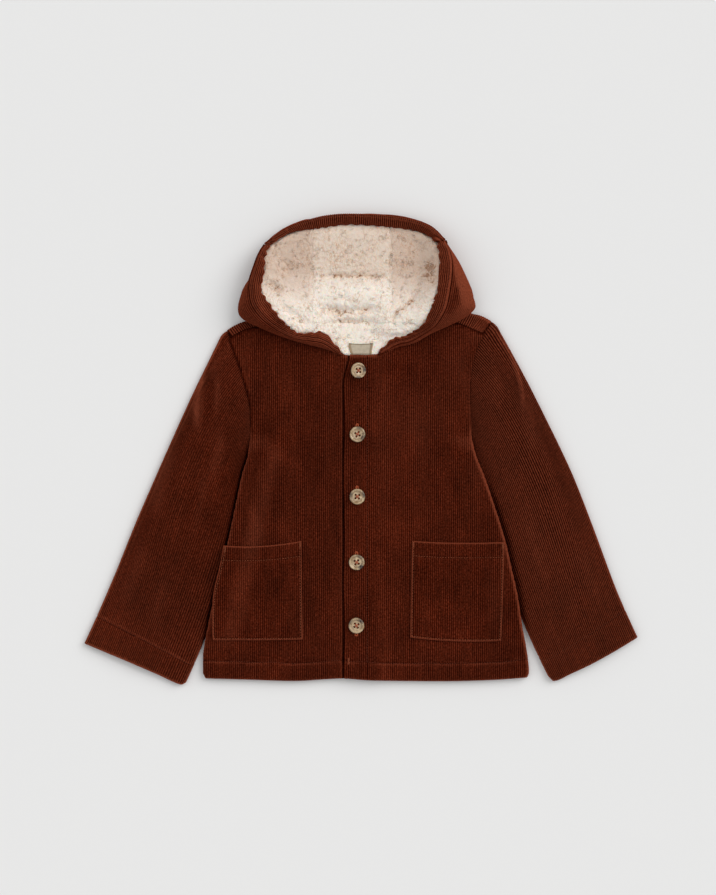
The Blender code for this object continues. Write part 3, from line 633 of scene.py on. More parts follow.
rust_corduroy = corduroy()
BACK_CREASES = listed(Crease,
    (-90, -205, -48, -40, 9, 9, 1.6), (60, -215, 96, -70, -12, 11, 1.3), (-20, 20, 34, 96, 6, 8, 1.1))
FOLD_ARC = math.pi * FOLD_RADIUS
FOLD_SLOPE_STEP, STEEPEST = 3, 0.34
HEM_ROUND = 2
SHOULDER_X, SHOULDER_RUN = 52, 6


def fold_start(x):
    return back_top_y(x) - FOLD_RADIUS


def over_shoulder(x):
    """Direction in which a rib runs on, once it has turned over the sloping shoulder fold."""
    slope = (back_top_y(x + FOLD_SLOPE_STEP) - back_top_y(x - FOLD_SLOPE_STEP)) / (2 * FOLD_SLOPE_STEP)
    angle = 2 * np.arctan(np.clip(slope, -STEEPEST, STEEPEST))
    return np.sin(angle), -np.cos(angle)


def back_side(u, v, radius):
    """A side of the back panel's wall, at its own radius round the shoulder fold."""
    v = np.asarray(v, float)
    beyond = v - fold_start(u)
    angle = np.clip(beyond / FOLD_RADIUS, 0, math.pi)
    over = angle > math.pi / 2
    turned = np.where(over, 1 - np.sin(angle), 0)
    edge = np.where(over, mix(radius, FOLD_RADIUS, turned), radius * np.sin(angle))
    run = turned * FOLD_RADIUS + np.maximum(beyond - FOLD_ARC, 0)
    dx, dy = over_shoulder(u)
    y = hem_fitted(u, np.minimum(v, fold_start(u)))
    seam = at_armhole(y)
    side_drop = (1 - round_edge(edge_depth(u, y), mix(FOLD_RADIUS, 2.5, seam))) * mix(FOLD_RADIUS, 2.2, seam)
    hem_drop = (1 - round_edge(v - HEM_LINE, HEM_ROUND)) * 1.6
    low = FOLD_RADIUS - radius
    if radius > 1:
        low = low + side_drop + hem_drop + creased(BACK_CREASES, u, y)
    else:
        low = low - hem_drop
    z = np.where(beyond > 0, FOLD_RADIUS - radius * np.cos(angle), low) + lift(u, y) * (beyond <= 0)
    return np.column_stack((u + dx * run, y + np.where(beyond > 0, edge, 0) + dy * run, z))


def back_outer(u, v):
    return back_side(u, v, FOLD_RADIUS)


def back_inner(u, v):
    return back_side(u, v, SEAM_GAP / 2)


def length_to_seam(u):
    """How far a rib runs on the front of the shoulder before it meets the seam."""
    seam = curve(RIGHT_SHOULDER_SEAM if u < 0 else LEFT_SHOULDER_SEAM, "x", "y")
    steps = np.arange(0, 60, 0.25)
    dx, dy = over_shoulder(np.array([u]))
    x = u + dx * (FOLD_RADIUS + steps)
    y = back_top_y(u) + dy * (FOLD_RADIUS + steps)
    past = np.nonzero(y < seam(x) + SEAM_GAP)[0]
    return float(steps[past[0]]) if len(past) else 0


def back_columns():
    """The ribs' stretches from the hem up, over the shoulders and on to the seam in front of them."""
    def inside(us, vs):
        return edge_depth(us, hem_fitted(us, vs))
    columns = []
    for u in rib_columns(RIGHT_END_X, LEFT_END_X):
        top = float(fold_start(np.array([u]))[0])
        spans = spans_inside(u, HEM_LINE, top, inside)
        if spans and spans[-1][1] > top - 1:
            wrapped = smooth((-u - SHOULDER_X) / SHOULDER_RUN) + smooth((u - SHOULDER_X + 1) / SHOULDER_RUN)
            spans[-1] = (spans[-1][0], top + float(wrapped) * (FOLD_ARC + length_to_seam(u)))
        columns.append((u, spans))
    return columns


def back_fade(u, v):
    return round_edge(v - HEM_LINE, 1.5)


def on_shoulder(u, v, right, left):
    """A share on the part wrapped over each shoulder: one value on the right and another on the left."""
    return mix(right, left, smooth(u / 20)) * smooth((v - fold_start(u)) / 4)


# Painted light on the side folds and the hem's edge, painted shade in the hem's stitched line, and paler pile
# over the shoulders.
def back_wear_and_shading(u, v):
    y = hem_fitted(u, v)
    fold = 0.35 * close(edge_depth(u, y), 2.2) * (1 - at_armhole(y))
    sewn = 0.4 * close(v - HEM_LINE, 1.3) - 0.3 * close(v - HEM_LINE - HEM_DEPTH, 1)
    return fold + on_shoulder(u, v, 0.10, 0.26) + sewn


# How strongly light and shade are painted on each rib's flanks: far more on the shoulder folds.
def back_flank_light(u, v):
    return 1 + on_shoulder(u, v, 6, 11)


HEM_ROWS = [HEM_LINE + step for step in (0.25, 0.8, 1.6, 2.8, 5)]
back_rows = HEM_ROWS + list(np.arange(HEM_LINE + 12, 96, 8)) + list(np.arange(98, 122, 6))
back_rows += list(np.arange(124, 215, 1.5))
back = ribbed_panel("back_cloth", back_columns(), back_rows, back_outer, back_inner, back_fade, back_wear_and_shading,
                    turned=True, bold=back_flank_light)
dress(back, "back")


# Fronts -----------------------------------------------------------------------------------------
# Two panels of the same cloth with the ribs running down them. The wearer's left front laps over the
# right one. Its free edge is turned under as a placket, and both hems are turned up and topstitched.
OVER_EDGE_X, UNDER_EDGE_X = -18.6, 9.8
PLACKET_WALL, PLACKET_RISE = 3.2, 3.3
PLACKET_SLOPE_START_X, PLACKET_SLOPE_END_X = 11, 38
PLACKET_STITCH_X = 6.6
FRONT_TOP = {
    "right": listed(Edge,
        (-157, 114), *RIGHT_SHOULDER_SEAM, (-54, 130), (-42, 115), (-20.2, 103.6), (9.8, 102.2)),
    "left": listed(Edge,
        (-18.6, 102.8), (16, 103.2), (30, 108.5), (45, 118.5), (54, 133), *LEFT_SHOULDER_SEAM, (147, 121)),
}
top_y = {side: curve(rows, "x", "y") for side, rows in FRONT_TOP.items()}
FRONT_CREASES = listed(Crease,
    (-40, 78, -47, -62, 4, 6.5, 0.6), (-58, 66, -66, -40, -5, 8, -0.5), (-96, 92, -112, 18, -6, 7.5, 0.5),
    (-122, -20, -104, -96, -5, 7, -0.5), (-30, -118, -36, -236, 3, 6, 0.4), (40, 96, 52, -30, 5, 8, 0.5),
    (70, 60, 84, -78, -6, 9, -0.5), (104, 96, 112, 10, 5, 7, 0.5), (128, -24, 106, -92, 6, 7, -0.6),
    (26, -60, 34, -228, -4, 7, -0.4), (-20, -160, -58, -232, 3, 6, -0.3), (48, -214, 96, -226, 2, 6, 0.3))


Buttonhole = namedtuple("Buttonhole", "x low high")
BUTTONHOLES = listed(Buttonhole,
    (-3.4, 79, 91.5), (-4.2, 8.5, 27), (-4.3, -59.5, -41.4), (-5, -131.5, -113.3), (-5.2, -205.6, -187))


def at_slit(x, y):
    """One along the slit of each buttonhole."""
    share = np.zeros_like(x)
    for hole in BUTTONHOLES:
        inside = np.minimum(y - hole.low, hole.high - y)
        share = share + close(x - hole.x, 0.5) * smooth((inside + 1) / 2)
    return share


def sewn_line(distance, width=1.3, depth=0.85):
    """The shallow trough that a line of stitching pulls into thick cloth."""
    return -depth * close(distance, width)


def hem_sway(x):
    """How far the hem's line of stitches strays from level."""
    return 0.8 * uneven(x * 2, 0)


def near_neck(x):
    return smooth((SHOULDER_X - np.abs(x)) / SHOULDER_RUN)


def tapered(under, top, share):
    """The underside and top of a wall, drawn together to a share of its thickness."""
    centre = (under + top) / 2
    return centre - (centre - under) * share, centre + (top - centre) * share


def over_edge(y):
    """Where the upper front's free edge lies, swinging in towards the neck."""
    return OVER_EDGE_X + 6.4 * smooth((y - 70) / 34)


def placket_rise(x):
    return PLACKET_RISE * smooth((PLACKET_SLOPE_END_X - x) / (PLACKET_SLOPE_END_X - PLACKET_SLOPE_START_X))


def front_heights(side, x, y):
    """Underside and top of a front's wall, before its ribs."""
    middle = FOLD_RADIUS + lift(x, y)
    seam = at_armhole(y)
    rolled = round_edge(edge_depth(x, y), mix(FOLD_RADIUS, 2.6, seam))
    top = FOLD_RADIUS - (1 - rolled) * mix(FOLD_RADIUS - 0.3, 1.7, seam)
    if side == "left":
        rise = placket_rise(x)
        top = top + rise * PLACKET_WALL / PLACKET_RISE * 0.76
        under = middle + SEAM_GAP / 2 + rise
        free = x - OVER_EDGE_X
        body = sewn_line(x - PLACKET_STITCH_X, 1.3, 0.35) - 0.9 * at_slit(x, y)
    else:
        under = middle + SEAM_GAP / 2
        covered = x - over_edge(y)
        top = top - 0.9 * smooth((covered + 5) / 4.5) - 2 * close(covered + 0.7, 1)
        free = UNDER_EDGE_X - x
        body = 0
    soft = smooth(edge_depth(x, y) / 9)
    body = body + (creased(FRONT_CREASES, x, y) + 0.22 * uneven(x * 1.3, y * 0.9)) * soft
    hem = y - hem_y(x)
    body = body + sewn_line(hem - HEM_DEPTH - hem_sway(x)) + 0.35 * smooth((HEM_DEPTH - hem) / 6)
    body = body + 0.18 * np.sin(x / 2.9 + 1.2 * uneven(x, y)) * close(hem - HEM_DEPTH + 5, 8)
    top = middle + top + body * smooth(free / 3)
    edge = np.minimum(round_edge(free, 1.1), round_edge(hem, HEM_ROUND))
    return tapered(under, top, np.maximum(edge, 0.1))


def edge_bend(side, u, y):
    """How far the placket's free edge swings in towards the neck."""
    if side == "right":
        return np.zeros_like(u)
    return ((over_edge(y) - OVER_EDGE_X) * smooth((OVER_EDGE_X + 24 - u) / 24)
            + 0.5 * np.sin(y / 19) * smooth((OVER_EDGE_X + 12 - u) / 12))


def front_surface(side, which):
    """One side of a front's wall, its underside or its top, by the rib's place and the place along it."""
    def place(u, v):
        y = hem_fitted(u, v)
        return np.column_stack((u + edge_bend(side, u, y), y, front_heights(side, u, y)[which]))
    return place


def front_columns(side, start, end):
    def inside(us, vs):
        y = hem_fitted(us, vs)
        ends = 0.6 * rib_profile(us / RIB_PITCH) * near_neck(us)
        return np.minimum(edge_depth(us, y), top_y[side](us) - SEAM_GAP + ends - y)
    return cut_columns(start, end, HEM_LINE, 160, inside)


def front_wear_and_shading(side):
    def wear(u, v):
        y = hem_fitted(u, v)
        hem = y - hem_y(u)
        depth, below_top = edge_depth(u, y), top_y[side](u) - SEAM_GAP - y
        # Painted light on the side folds, painted shade along the armhole seams.
        fold = 0.6 * close(depth, 1) * (1 - at_armhole(y))
        seam = -0.7 * close(depth, 1.3) * at_armhole(y)
        # Painted shade along the shoulder seams, painted light on the neck edge.
        top = close(below_top, 1.4) * mix(-0.7, 0.9, near_neck(u))
        # Painted shadow on the lower front beside the upper front's edge; painted shade in the placket's
        # stitched line, along its free edge and in the buttonhole slits.
        if side == "right":
            edge = -1.5 * close(u - over_edge(y) + 0.8, 1.2)
        else:
            edge = -0.5 * close(u - PLACKET_STITCH_X, 0.8) - 0.5 * close(u - OVER_EDGE_X, 0.5)
            edge = edge - 0.9 * at_slit(u, y)
        # Painted shade in the hem's stitched line, painted light on the hem's edge.
        sewn = -0.5 * close(hem - HEM_DEPTH, 0.9) + 0.5 * close(hem, 1.4)
        return fold + seam + top + edge + sewn
    return wear


def front_fade(u, v):
    y = hem_fitted(u, v)
    return round_edge(v - HEM_LINE, 1.2) * (1 - 0.3 * close(y - hem_y(u) - HEM_DEPTH, 1))


front_rows = HEM_ROWS + [HEM_LINE + 9, HEM_LINE + 13] + list(np.arange(HEM_LINE + 16, -232, 1.1))
front_rows += list(np.arange(-229, 158, 3.6))
for side, start, end in (("right", RIGHT_END_X, UNDER_EDGE_X), ("left", OVER_EDGE_X, LEFT_END_X)):
    panel = ribbed_panel("front_%s_cloth" % side, front_columns(side, start, end), front_rows,
                         front_surface(side, 1), front_surface(side, 0), front_fade, front_wear_and_shading(side))
    dress(panel, "front_" + side)


# Patch pockets ------------------------------------------------------------------------------------
# A patch of the same corduroy on each front, ribs running down like the front's own. Its top edge is
# turned in and stitched across, and the sides and bottom are topstitched close to the edge.
POCKET_WALL, POCKET_GAP = 2.2, 0.7
POCKET_HEIGHT, POCKET_HEM, POCKET_STITCH = 108, 16.5, 2
POCKET_WIDEST_Y = -180
Pocket = namedtuple("Pocket", "outer_x outer_y inner_x inner_y sag")
POCKETS = {
    "right": listed(Pocket,
        (-162.8, -210.2, -63.6, -209.8, -0.6), (-163.4, -196, -64.2, -196, 0), (-162, -160, -64.6, -160, 0),
        (-155.3, -130, -65, -129, -1.5), (-150.7, -106.2, -65.1, -101.2, -3)),
    "left": listed(Pocket,
        (153.9, -211.2, 53.9, -207.5, -2.4), (154.4, -196, 54.1, -196, -1), (155.7, -160, 54.7, -160, 0),
        (156.5, -130, 55.2, -129, -0.8), (157.3, -102.2, 55.7, -101.2, -1.6)),
}
POCKET_CREASES = listed(Crease,
    (-142, -196, -88, -132, 4, 8, 0.8), (-104, -204, -76, -176, -2, 6, 0.6),
    (-150, -150, -112, -124, 3, 7, -0.5), (74, -202, 128, -140, -4, 8, 0.7),
    (112, -205, 146, -170, 2, 6, -0.5), (66, -150, 92, -122, 3, 7, 0.6))


class PatchPocket:
    """A patch on a front: its outline and the heights of its two sides."""

    def __init__(self, side, rows):
        self.side = side
        self.inward = 1 if side == "right" else -1
        self.outer_x = curve(rows, "outer_y", "outer_x")
        self.inner_x = curve(rows, "inner_y", "inner_x")
        self.bottom, self.top = rows[0], rows[-1]

    @staticmethod
    def edge_y(row, x):
        """Where the pocket's bottom or mouth runs."""
        share = np.clip((x - row.outer_x) / (row.inner_x - row.outer_x), 0, 1)
        return mix(row.outer_y, row.inner_y, share) + row.sag * 4 * share * (1 - share)

    def y_of(self, x, v):
        return mix(self.edge_y(self.bottom, x), self.edge_y(self.top, x), v / POCKET_HEIGHT)

    def side_distance(self, x, y):
        a, b = self.outer_x(y), self.inner_x(y)
        return np.minimum(x - np.minimum(a, b), np.maximum(a, b) - x)

    def heights(self, x, v):
        y = self.y_of(x, v)
        limit = SIDE_X[self.side](y) + self.inward * (FOLD_RADIUS + 0.5)
        held = np.maximum(x, limit) if self.side == "right" else np.minimum(x, limit)
        under = front_heights(self.side, held, y)[1] + POCKET_GAP
        mouth = POCKET_HEIGHT - v
        sewn = np.minimum(self.side_distance(x, y), v)
        puff = 1.1 * smooth((sewn - 1.5) / 16) * smooth((mouth + 14) / 40)
        pucker = 0.16 * np.sin(x * 0.9 + v * 1.15) * close(sewn - 3.2, 2.4)
        body = puff + sewn_line(sewn - POCKET_STITCH, 0.9, 0.5) + sewn_line(mouth - POCKET_HEM, 1.3, 0.55)
        body = body + 0.75 * smooth((POCKET_HEM + 1 - mouth) / 2.5) + pucker + creased(POCKET_CREASES, x, y)
        top = under + POCKET_WALL + body
        edge = np.maximum(round_edge(np.minimum(sewn, mouth), 1), 0.12)
        return y, *tapered(under, top, edge)

    def outer(self, u, v, which=2):
        sides = self.heights(u, v)
        return np.column_stack((u, sides[0], sides[which]))

    def inner(self, u, v):
        return self.outer(u, v, 1)

    def fade(self, u, v):
        y = self.y_of(u, v)
        sewn = np.minimum(self.side_distance(u, y), v)
        flat = 0.55 * close(sewn - POCKET_STITCH, 0.9) + 0.3 * close(POCKET_HEIGHT - v - POCKET_HEM, 1)
        return round_edge(np.minimum(sewn, POCKET_HEIGHT - v), 0.9) * (1 - flat)

    def wear(self, u, v):
        sewn = np.minimum(self.side_distance(u, self.y_of(u, v)), v)
        mouth = POCKET_HEIGHT - v
        # Rubbed pile and painted light on the pocket's edges, painted shade in its stitched lines.
        rubbed_and_lit = 0.75 * close(sewn - 0.5, 0.8) + 0.95 * close(mouth - 0.4, 1)
        return rubbed_and_lit - 0.2 * close(mouth - POCKET_HEM, 1) - 0.35 * close(sewn - 2.3, 0.7)

    def columns(self):
        corners = [getattr(row, name) for row in (self.bottom, self.top) for name in ("outer_x", "inner_x")]
        corners += [float(edge_x(np.array([POCKET_WIDEST_Y]))[0]) for edge_x in (self.outer_x, self.inner_x)]

        def inside(us, vs):
            return self.side_distance(us, self.y_of(us, vs))
        return cut_columns(min(corners), max(corners), 0, POCKET_HEIGHT, inside)


pocket_rows = [0.25, 0.7, 1.3, 2, 2.7, 3.6, 5, *np.arange(8, 88, 3.2), *np.arange(89, 95, 1), 98,
               101, 104, 105.8, 106.8, 107.4, 107.8]
patches = {side: PatchPocket(side, rows) for side, rows in POCKETS.items()}
for side, patch in patches.items():
    piece = ribbed_panel("pocket_%s_cloth" % side, patch.columns(), pocket_rows, patch.outer, patch.inner,
                         patch.fade, patch.wear, every=3, nap_light=0.6)
    dress(piece, "pocket_" + side)


# Sleeves ------------------------------------------------------------------------------------------
# Each is a flattened tube of the same cloth. The ribs leave the armhole at a slant and swing round to
# run down to the cuff, which is turned in and stitched round.
Cuff = namedtuple("Cuff", "share head_angle cuff_angle x y")
SLEEVES = {
    "right": listed(Cuff,
        (0, 29.5, 22.5, -303.6, -214), (0.25, 45, 22, -277.2, -225), (0.5, 36, 23, -250.8, -236),
        (0.75, 22, 24, -224, -247.7), (0.95, 8, 25, -198.5, -259), (1, 5, 25, -192.5, -257)),
    "left": listed(Cuff,
        (0, 32, 22.5, 303.6, -207.4), (0.25, 47, 22, 278.5, -222.5), (0.5, 38, 24, 254, -236),
        (0.75, 25, 26, 231, -247), (0.95, 12, 27, 212, -255.2), (1, 10, 27, 205.7, -249.7)),
}
SHOULDER_Y = {"right": 129.8, "left": 139.9}
HEAD_TUCK = 0.9
Bow = namedtuple("Bow", "along out")
OUTER_FOLD = {
    "right": listed(Bow,
        (0, 0.6), (0.05, -0.4), (0.12, -1.3), (0.22, -1.9), (0.33, -2.6), (0.46, -2.7), (0.62, -2.1),
        (0.76, -2.4), (0.86, -1.8), (0.95, -0.8), (1, 0)),
    "left": listed(Bow,
        (0, 0.2), (0.05, -0.8), (0.15, -1.2), (0.3, -1), (0.4, 0), (0.5, 0.9), (0.6, 0.3), (0.7, -0.6),
        (0.85, -1.9), (0.95, -0.8), (1, 0)),
}
SLEEVE_RADIUS = SLEEVE_HEIGHT / 2
SLEEVE_LENGTH, SLEEVE_RIBS, SLEEVE_CROWN = 255, 56, 2.6
CUFF_HEM, CUFF_ROUND = 22, 1.6
LEAST_HEIGHT = 0.02
# For each sleeve: painted light along the folds, beside the outer fold and on the creases' ridges, an even
# paler tone, the width, start and run of the painted shadow beside the body, and how strongly light and shade
# are painted on the ribs' flanks.
SleeveWearAndShading = namedtuple("SleeveWearAndShading", "fold outer ridge even shadow shadow_start shadow_run bold")
SLEEVE_WEAR_AND_SHADING = {
    "right": SleeveWearAndShading(0.5, 0, 0.13, 0.07, 4.6, 2, 20, 2.3),
    "left": SleeveWearAndShading(0.7, 0.22, 0.24, 0.02, 9, -20, 50, 4.2),
}
SLEEVE_CREASES = {
    "right": listed(Crease,
        (-171, 100, -177, 14, -3, 4.6, 2.2), (-162, 92, -165, 30, 2, 5, -1.2),
        (-196, 10, -226, -84, -4, 7, 1), (-176, -20, -196, -112, 4, 7, -0.9),
        (-232, -96, -262, -176, 3, 8, 0.8), (-206, -130, -226, -206, -3, 7, 0.7),
        (-150, 30, -168, -38, 5, 6, 0.8), (-192, 62, -214, 6, -3, 6, -0.8)),
    "left": listed(Crease,
        (118.7, 155, 177.5, 31, 18.5, 1.9, 3.4), (172, 74, 190, -18, 3, 7, 1.4),
        (124, 160, 188, 40, 18, 2.6, -1.5), (136, 118, 160, 52, 4, 5, -1.2),
        (150, 60, 164, -34, -4, 6, -0.9), (196, 10, 226, -96, 5, 7, -1), (180, -52, 206, -150, -4, 7, 0.9),
        (232, -100, 262, -184, 3, 7, 0.9), (214, -160, 232, -222, -3, 6, -0.7),
        (140, 92, 150, 30, 3, 5, 0.8)),
}


class Sleeve:
    """A flattened tube: places on its two sides by the share across and the share along."""

    def __init__(self, side):
        self.side = side
        self.outward = -1 if side == "right" else 1
        self.columns = {name: curve(SLEEVES[side], "share", name) for name in Cuff._fields[1:]}
        self.bow = curve(OUTER_FOLD[side], "along", "out")

    def plan(self, share, along):
        start_y = mix(SHOULDER_Y[self.side], UNDERARM_Y, share)
        corner = smooth(1 - share / 0.09) * smooth(1 - along / 0.02)
        start_x = SIDE_X[self.side](start_y) - self.outward * (HEAD_TUCK + 3 * corner)
        end_x, end_y = self.columns["x"](share), self.columns["y"](share)
        head, cuff = (np.radians(self.columns[name](share)) for name in ("head_angle", "cuff_angle"))
        chord = np.hypot(end_x - start_x, end_y - start_y)
        a, b, c, d = hermite(along)
        x = (a * start_x + b * self.outward * np.sin(head) * chord + c * end_x
             + d * self.outward * np.sin(cuff) * chord)
        y = a * start_y - b * np.cos(head) * chord + c * end_y - d * np.cos(cuff) * chord
        bow = self.bow(along) * np.clip(1 - share / 0.6, 0, 1)**1.5 * smooth(along / 0.013)
        return x + self.outward * bow * 0.9, y + bow * 0.42

    def width(self, along):
        x0, y0 = self.plan(np.zeros_like(along), along)
        x1, y1 = self.plan(np.ones_like(along), along)
        return np.hypot(x1 - x0, y1 - y0)

    def outer(self, u, v):
        """The right side at a rib count round from the outer fold, and a share along."""
        below = u > SLEEVE_RIBS
        local = np.where(below, 2 - u / SLEEVE_RIBS, u / SLEEVE_RIBS)
        width = self.width(v)
        quarter = math.pi / 2 * SLEEVE_RADIUS
        length = width - 2 * SLEEVE_RADIUS + 2 * quarter
        round_a, round_b = local * length, (1 - local) * length
        near = np.minimum(round_a, round_b)
        angle = np.clip(near / SLEEVE_RADIUS, 0, math.pi / 2)
        depth = SLEEVE_RADIUS * (1 - np.cos(angle)) + np.maximum(near - quarter, 0)
        height = SLEEVE_RADIUS * np.sin(angle)
        share = np.where(round_a < round_b, depth, width - depth) / width
        x, y = self.plan(share, v)
        reach, hem = v * SLEEVE_LENGTH, (1 - v) * SLEEVE_LENGTH
        crown = SLEEVE_CROWN * np.sin(np.pi * np.clip(share, 0, 1))**0.8 * smooth((0.9 - share) / 0.3)
        crown = crown * smooth(reach / 26) + creased(SLEEVE_CREASES[self.side], x, y) * smooth(reach / 20)
        crown = crown + 0.2 * uneven(x, y) * smooth(reach / 20)
        crown = crown * smooth(depth / 12)
        crown = crown + sewn_line(hem - CUFF_HEM) + 0.3 * smooth((CUFF_HEM - hem) / 5)
        head = -1.6 * (1 - round_edge(reach, 3))
        wall_middle = SLEEVE_RADIUS - SLEEVE_WALL / 2
        tall = wall_middle + (height - wall_middle) * round_edge(hem, CUFF_ROUND)
        height = np.where(height > wall_middle, tall, height)
        return np.column_stack((x, y, SLEEVE_RADIUS + np.where(below, -height, height + (crown + head))))

    def inner(self, u, v):
        below = u > SLEEVE_RIBS
        share = np.where(below, 2 - u / SLEEVE_RIBS, u / SLEEVE_RIBS)
        width = self.width(v)
        depth = np.minimum(share, 1 - share) * width
        held = SLEEVE_WALL + (depth / (width / 2)) * (width / 2 - SLEEVE_WALL)
        share = np.where(share < 0.5, held, width - held) / width
        x, y = self.plan(share, v)
        height = SEAM_GAP * np.clip((held - SLEEVE_WALL) / 4, 0, 1)
        hem = round_edge((1 - v) * SLEEVE_LENGTH, CUFF_ROUND)
        height = mix(SLEEVE_RADIUS - SLEEVE_WALL / 2 - 0.2, height, hem)
        height = height * smooth((held - SLEEVE_WALL) / 3)
        return np.column_stack((x, y, SLEEVE_RADIUS + np.where(below, -height, height)))


def off_table(points, least):
    """Places with none of them below a least height, where the cloth rests on something."""
    points[:, 2] = np.maximum(points[:, 2], least)
    return points


def sleeve_wear_and_shading(side, x, y, u, hem, reach):
    """How a sleeve's pile is coloured: painted light on its folds, the creases' ridges and the cuff's edge,
    painted shade at the head seam and in the cuff's stitched line, and a painted shadow beside the body.
    """
    sleeve_tones = SLEEVE_WEAR_AND_SHADING[side]
    rib_from_fold = np.abs(np.mod(u + SLEEVE_RIBS / 2, SLEEVE_RIBS) - SLEEVE_RIBS / 2)
    from_outer = np.minimum(u, 2 * SLEEVE_RIBS - u) / SLEEVE_RIBS
    wear = sleeve_tones.fold * close(rib_from_fold, 1.1) * smooth(reach / 12)
    wear = wear - close(reach, 1.6) * mix(0.15, 0.6, smooth(from_outer / 0.4))
    wear = wear + 0.55 * close(hem, 1.5) - 0.45 * close(hem - CUFF_HEM, 0.9)
    wear = wear + sleeve_tones.ridge * np.clip(creased(SLEEVE_CREASES[side], x, y), 0, 3) + sleeve_tones.even
    wear = wear - 1.2 * smooth((edge_depth(x, y) + sleeve_tones.shadow) / (sleeve_tones.shadow - 1.4)) * smooth(
        (UNDERARM_Y + sleeve_tones.shadow_start - y) / sleeve_tones.shadow_run)
    return wear + sleeve_tones.outer * close(from_outer * SLEEVE_RIBS, 3) * smooth(reach / 30) * smooth(
        (190 - reach) / 60)


def tube(name, sleeve, alongs, inner_alongs):
    """A sleeve's shell: ribs all round the outside, plain inside, and closed over at both ends."""
    around = np.array([n + share for n in range(2 * SLEEVE_RIBS) for share in RIB_SHARES])
    u, v = (grid.ravel() for grid in np.meshgrid(around, alongs))
    reach, hem = v * SLEEVE_LENGTH, (1 - v) * SLEEVE_LENGTH

    def wrapped(us, vs):
        return sleeve.outer(np.mod(us, 2 * SLEEVE_RIBS), np.clip(vs, 0, 1))
    out = face_directions(wrapped, u, v, sleeve.side == "left", 0.12, 0.0012)
    fade = round_edge(hem, 1.3) * (1 - 0.3 * close(hem - CUFF_HEM, 1))
    beside = unit(wrapped(u + 0.12, v) - wrapped(u - 0.12, v))
    relief = rib_relief(u * RIB_PITCH, reach) * fade - RIB_HEIGHT / 2
    sway = rib_sway(u * RIB_PITCH, reach) * smooth(v / 0.05)
    points = wrapped(u, v) + out * relief[:, None] + beside * sway[:, None]
    x, y, _ = points.T
    # Painted light and shade on the pile, as on the flat panels, with more on the ribs' flanks near the head.
    bold = SLEEVE_WEAR_AND_SHADING[sleeve.side].bold + 3.6 * np.exp(-reach / 34)
    wear = sleeve_wear_and_shading(sleeve.side, x, y, u, hem, reach) + 1.4 * nap_painted_light(u * RIB_PITCH, out, beside, bold)
    wear = wear + patched_tone_and_shade(x, y) * (out[:, 2] > 0)
    points = off_table(points, LEAST_HEIGHT)
    in_u, in_v = (grid.ravel() for grid in np.meshgrid(around, inner_alongs))
    points = np.vstack((points, sleeve.inner(in_u, in_v)))
    count, rows, in_rows = len(around), len(alongs), len(inner_alongs)
    first = count * rows
    faces = []
    for n in range(count):
        m = (n + 1) % count
        for row in range(rows - 1):
            faces.append((row * count + n, row * count + m, (row + 1) * count + m, (row + 1) * count + n))
        for row in range(in_rows - 1):
            low, high = first + row * count, first + (row + 1) * count
            faces.append((low + m, low + n, high + n, high + m))
        faces.append((n, first + n, first + m, m))
        top, inside = (rows - 1) * count, first + (in_rows - 1) * count
        faces.append((top + m, inside + m, inside + n, top + n))
    if sleeve.side == "right":
        faces = [tuple(reversed(face)) for face in faces]
    along = np.concatenate((v, in_v)) * SLEEVE_LENGTH / RIB_PITCH
    cords = np.column_stack((np.concatenate((u, in_u)), along))
    shades = np.concatenate((wear, np.zeros_like(in_u)))
    return finish_cloth(name, points, faces, cords, shades)


sleeve_alongs = np.array([0, 0.002, 0.006, 0.012, 0.02, *np.linspace(0.033, 0.895, 62),
                          *np.linspace(0.9, 0.93, 9), 0.945, 0.96, 0.975, 0.988, 0.9935, 0.9965, 0.9985, 1])
cuff_alongs = np.array([0, 0.12, 0.3, 0.5, 0.7, 0.88, 0.985, 0.994, 0.998, 1])
sleeves = {}
for side in SLEEVES:
    sleeves[side] = Sleeve(side)
    piece = tube("sleeve_%s_cloth" % side, sleeves[side], sleeve_alongs, cuff_alongs)
    dress(piece, "sleeve_" + side)


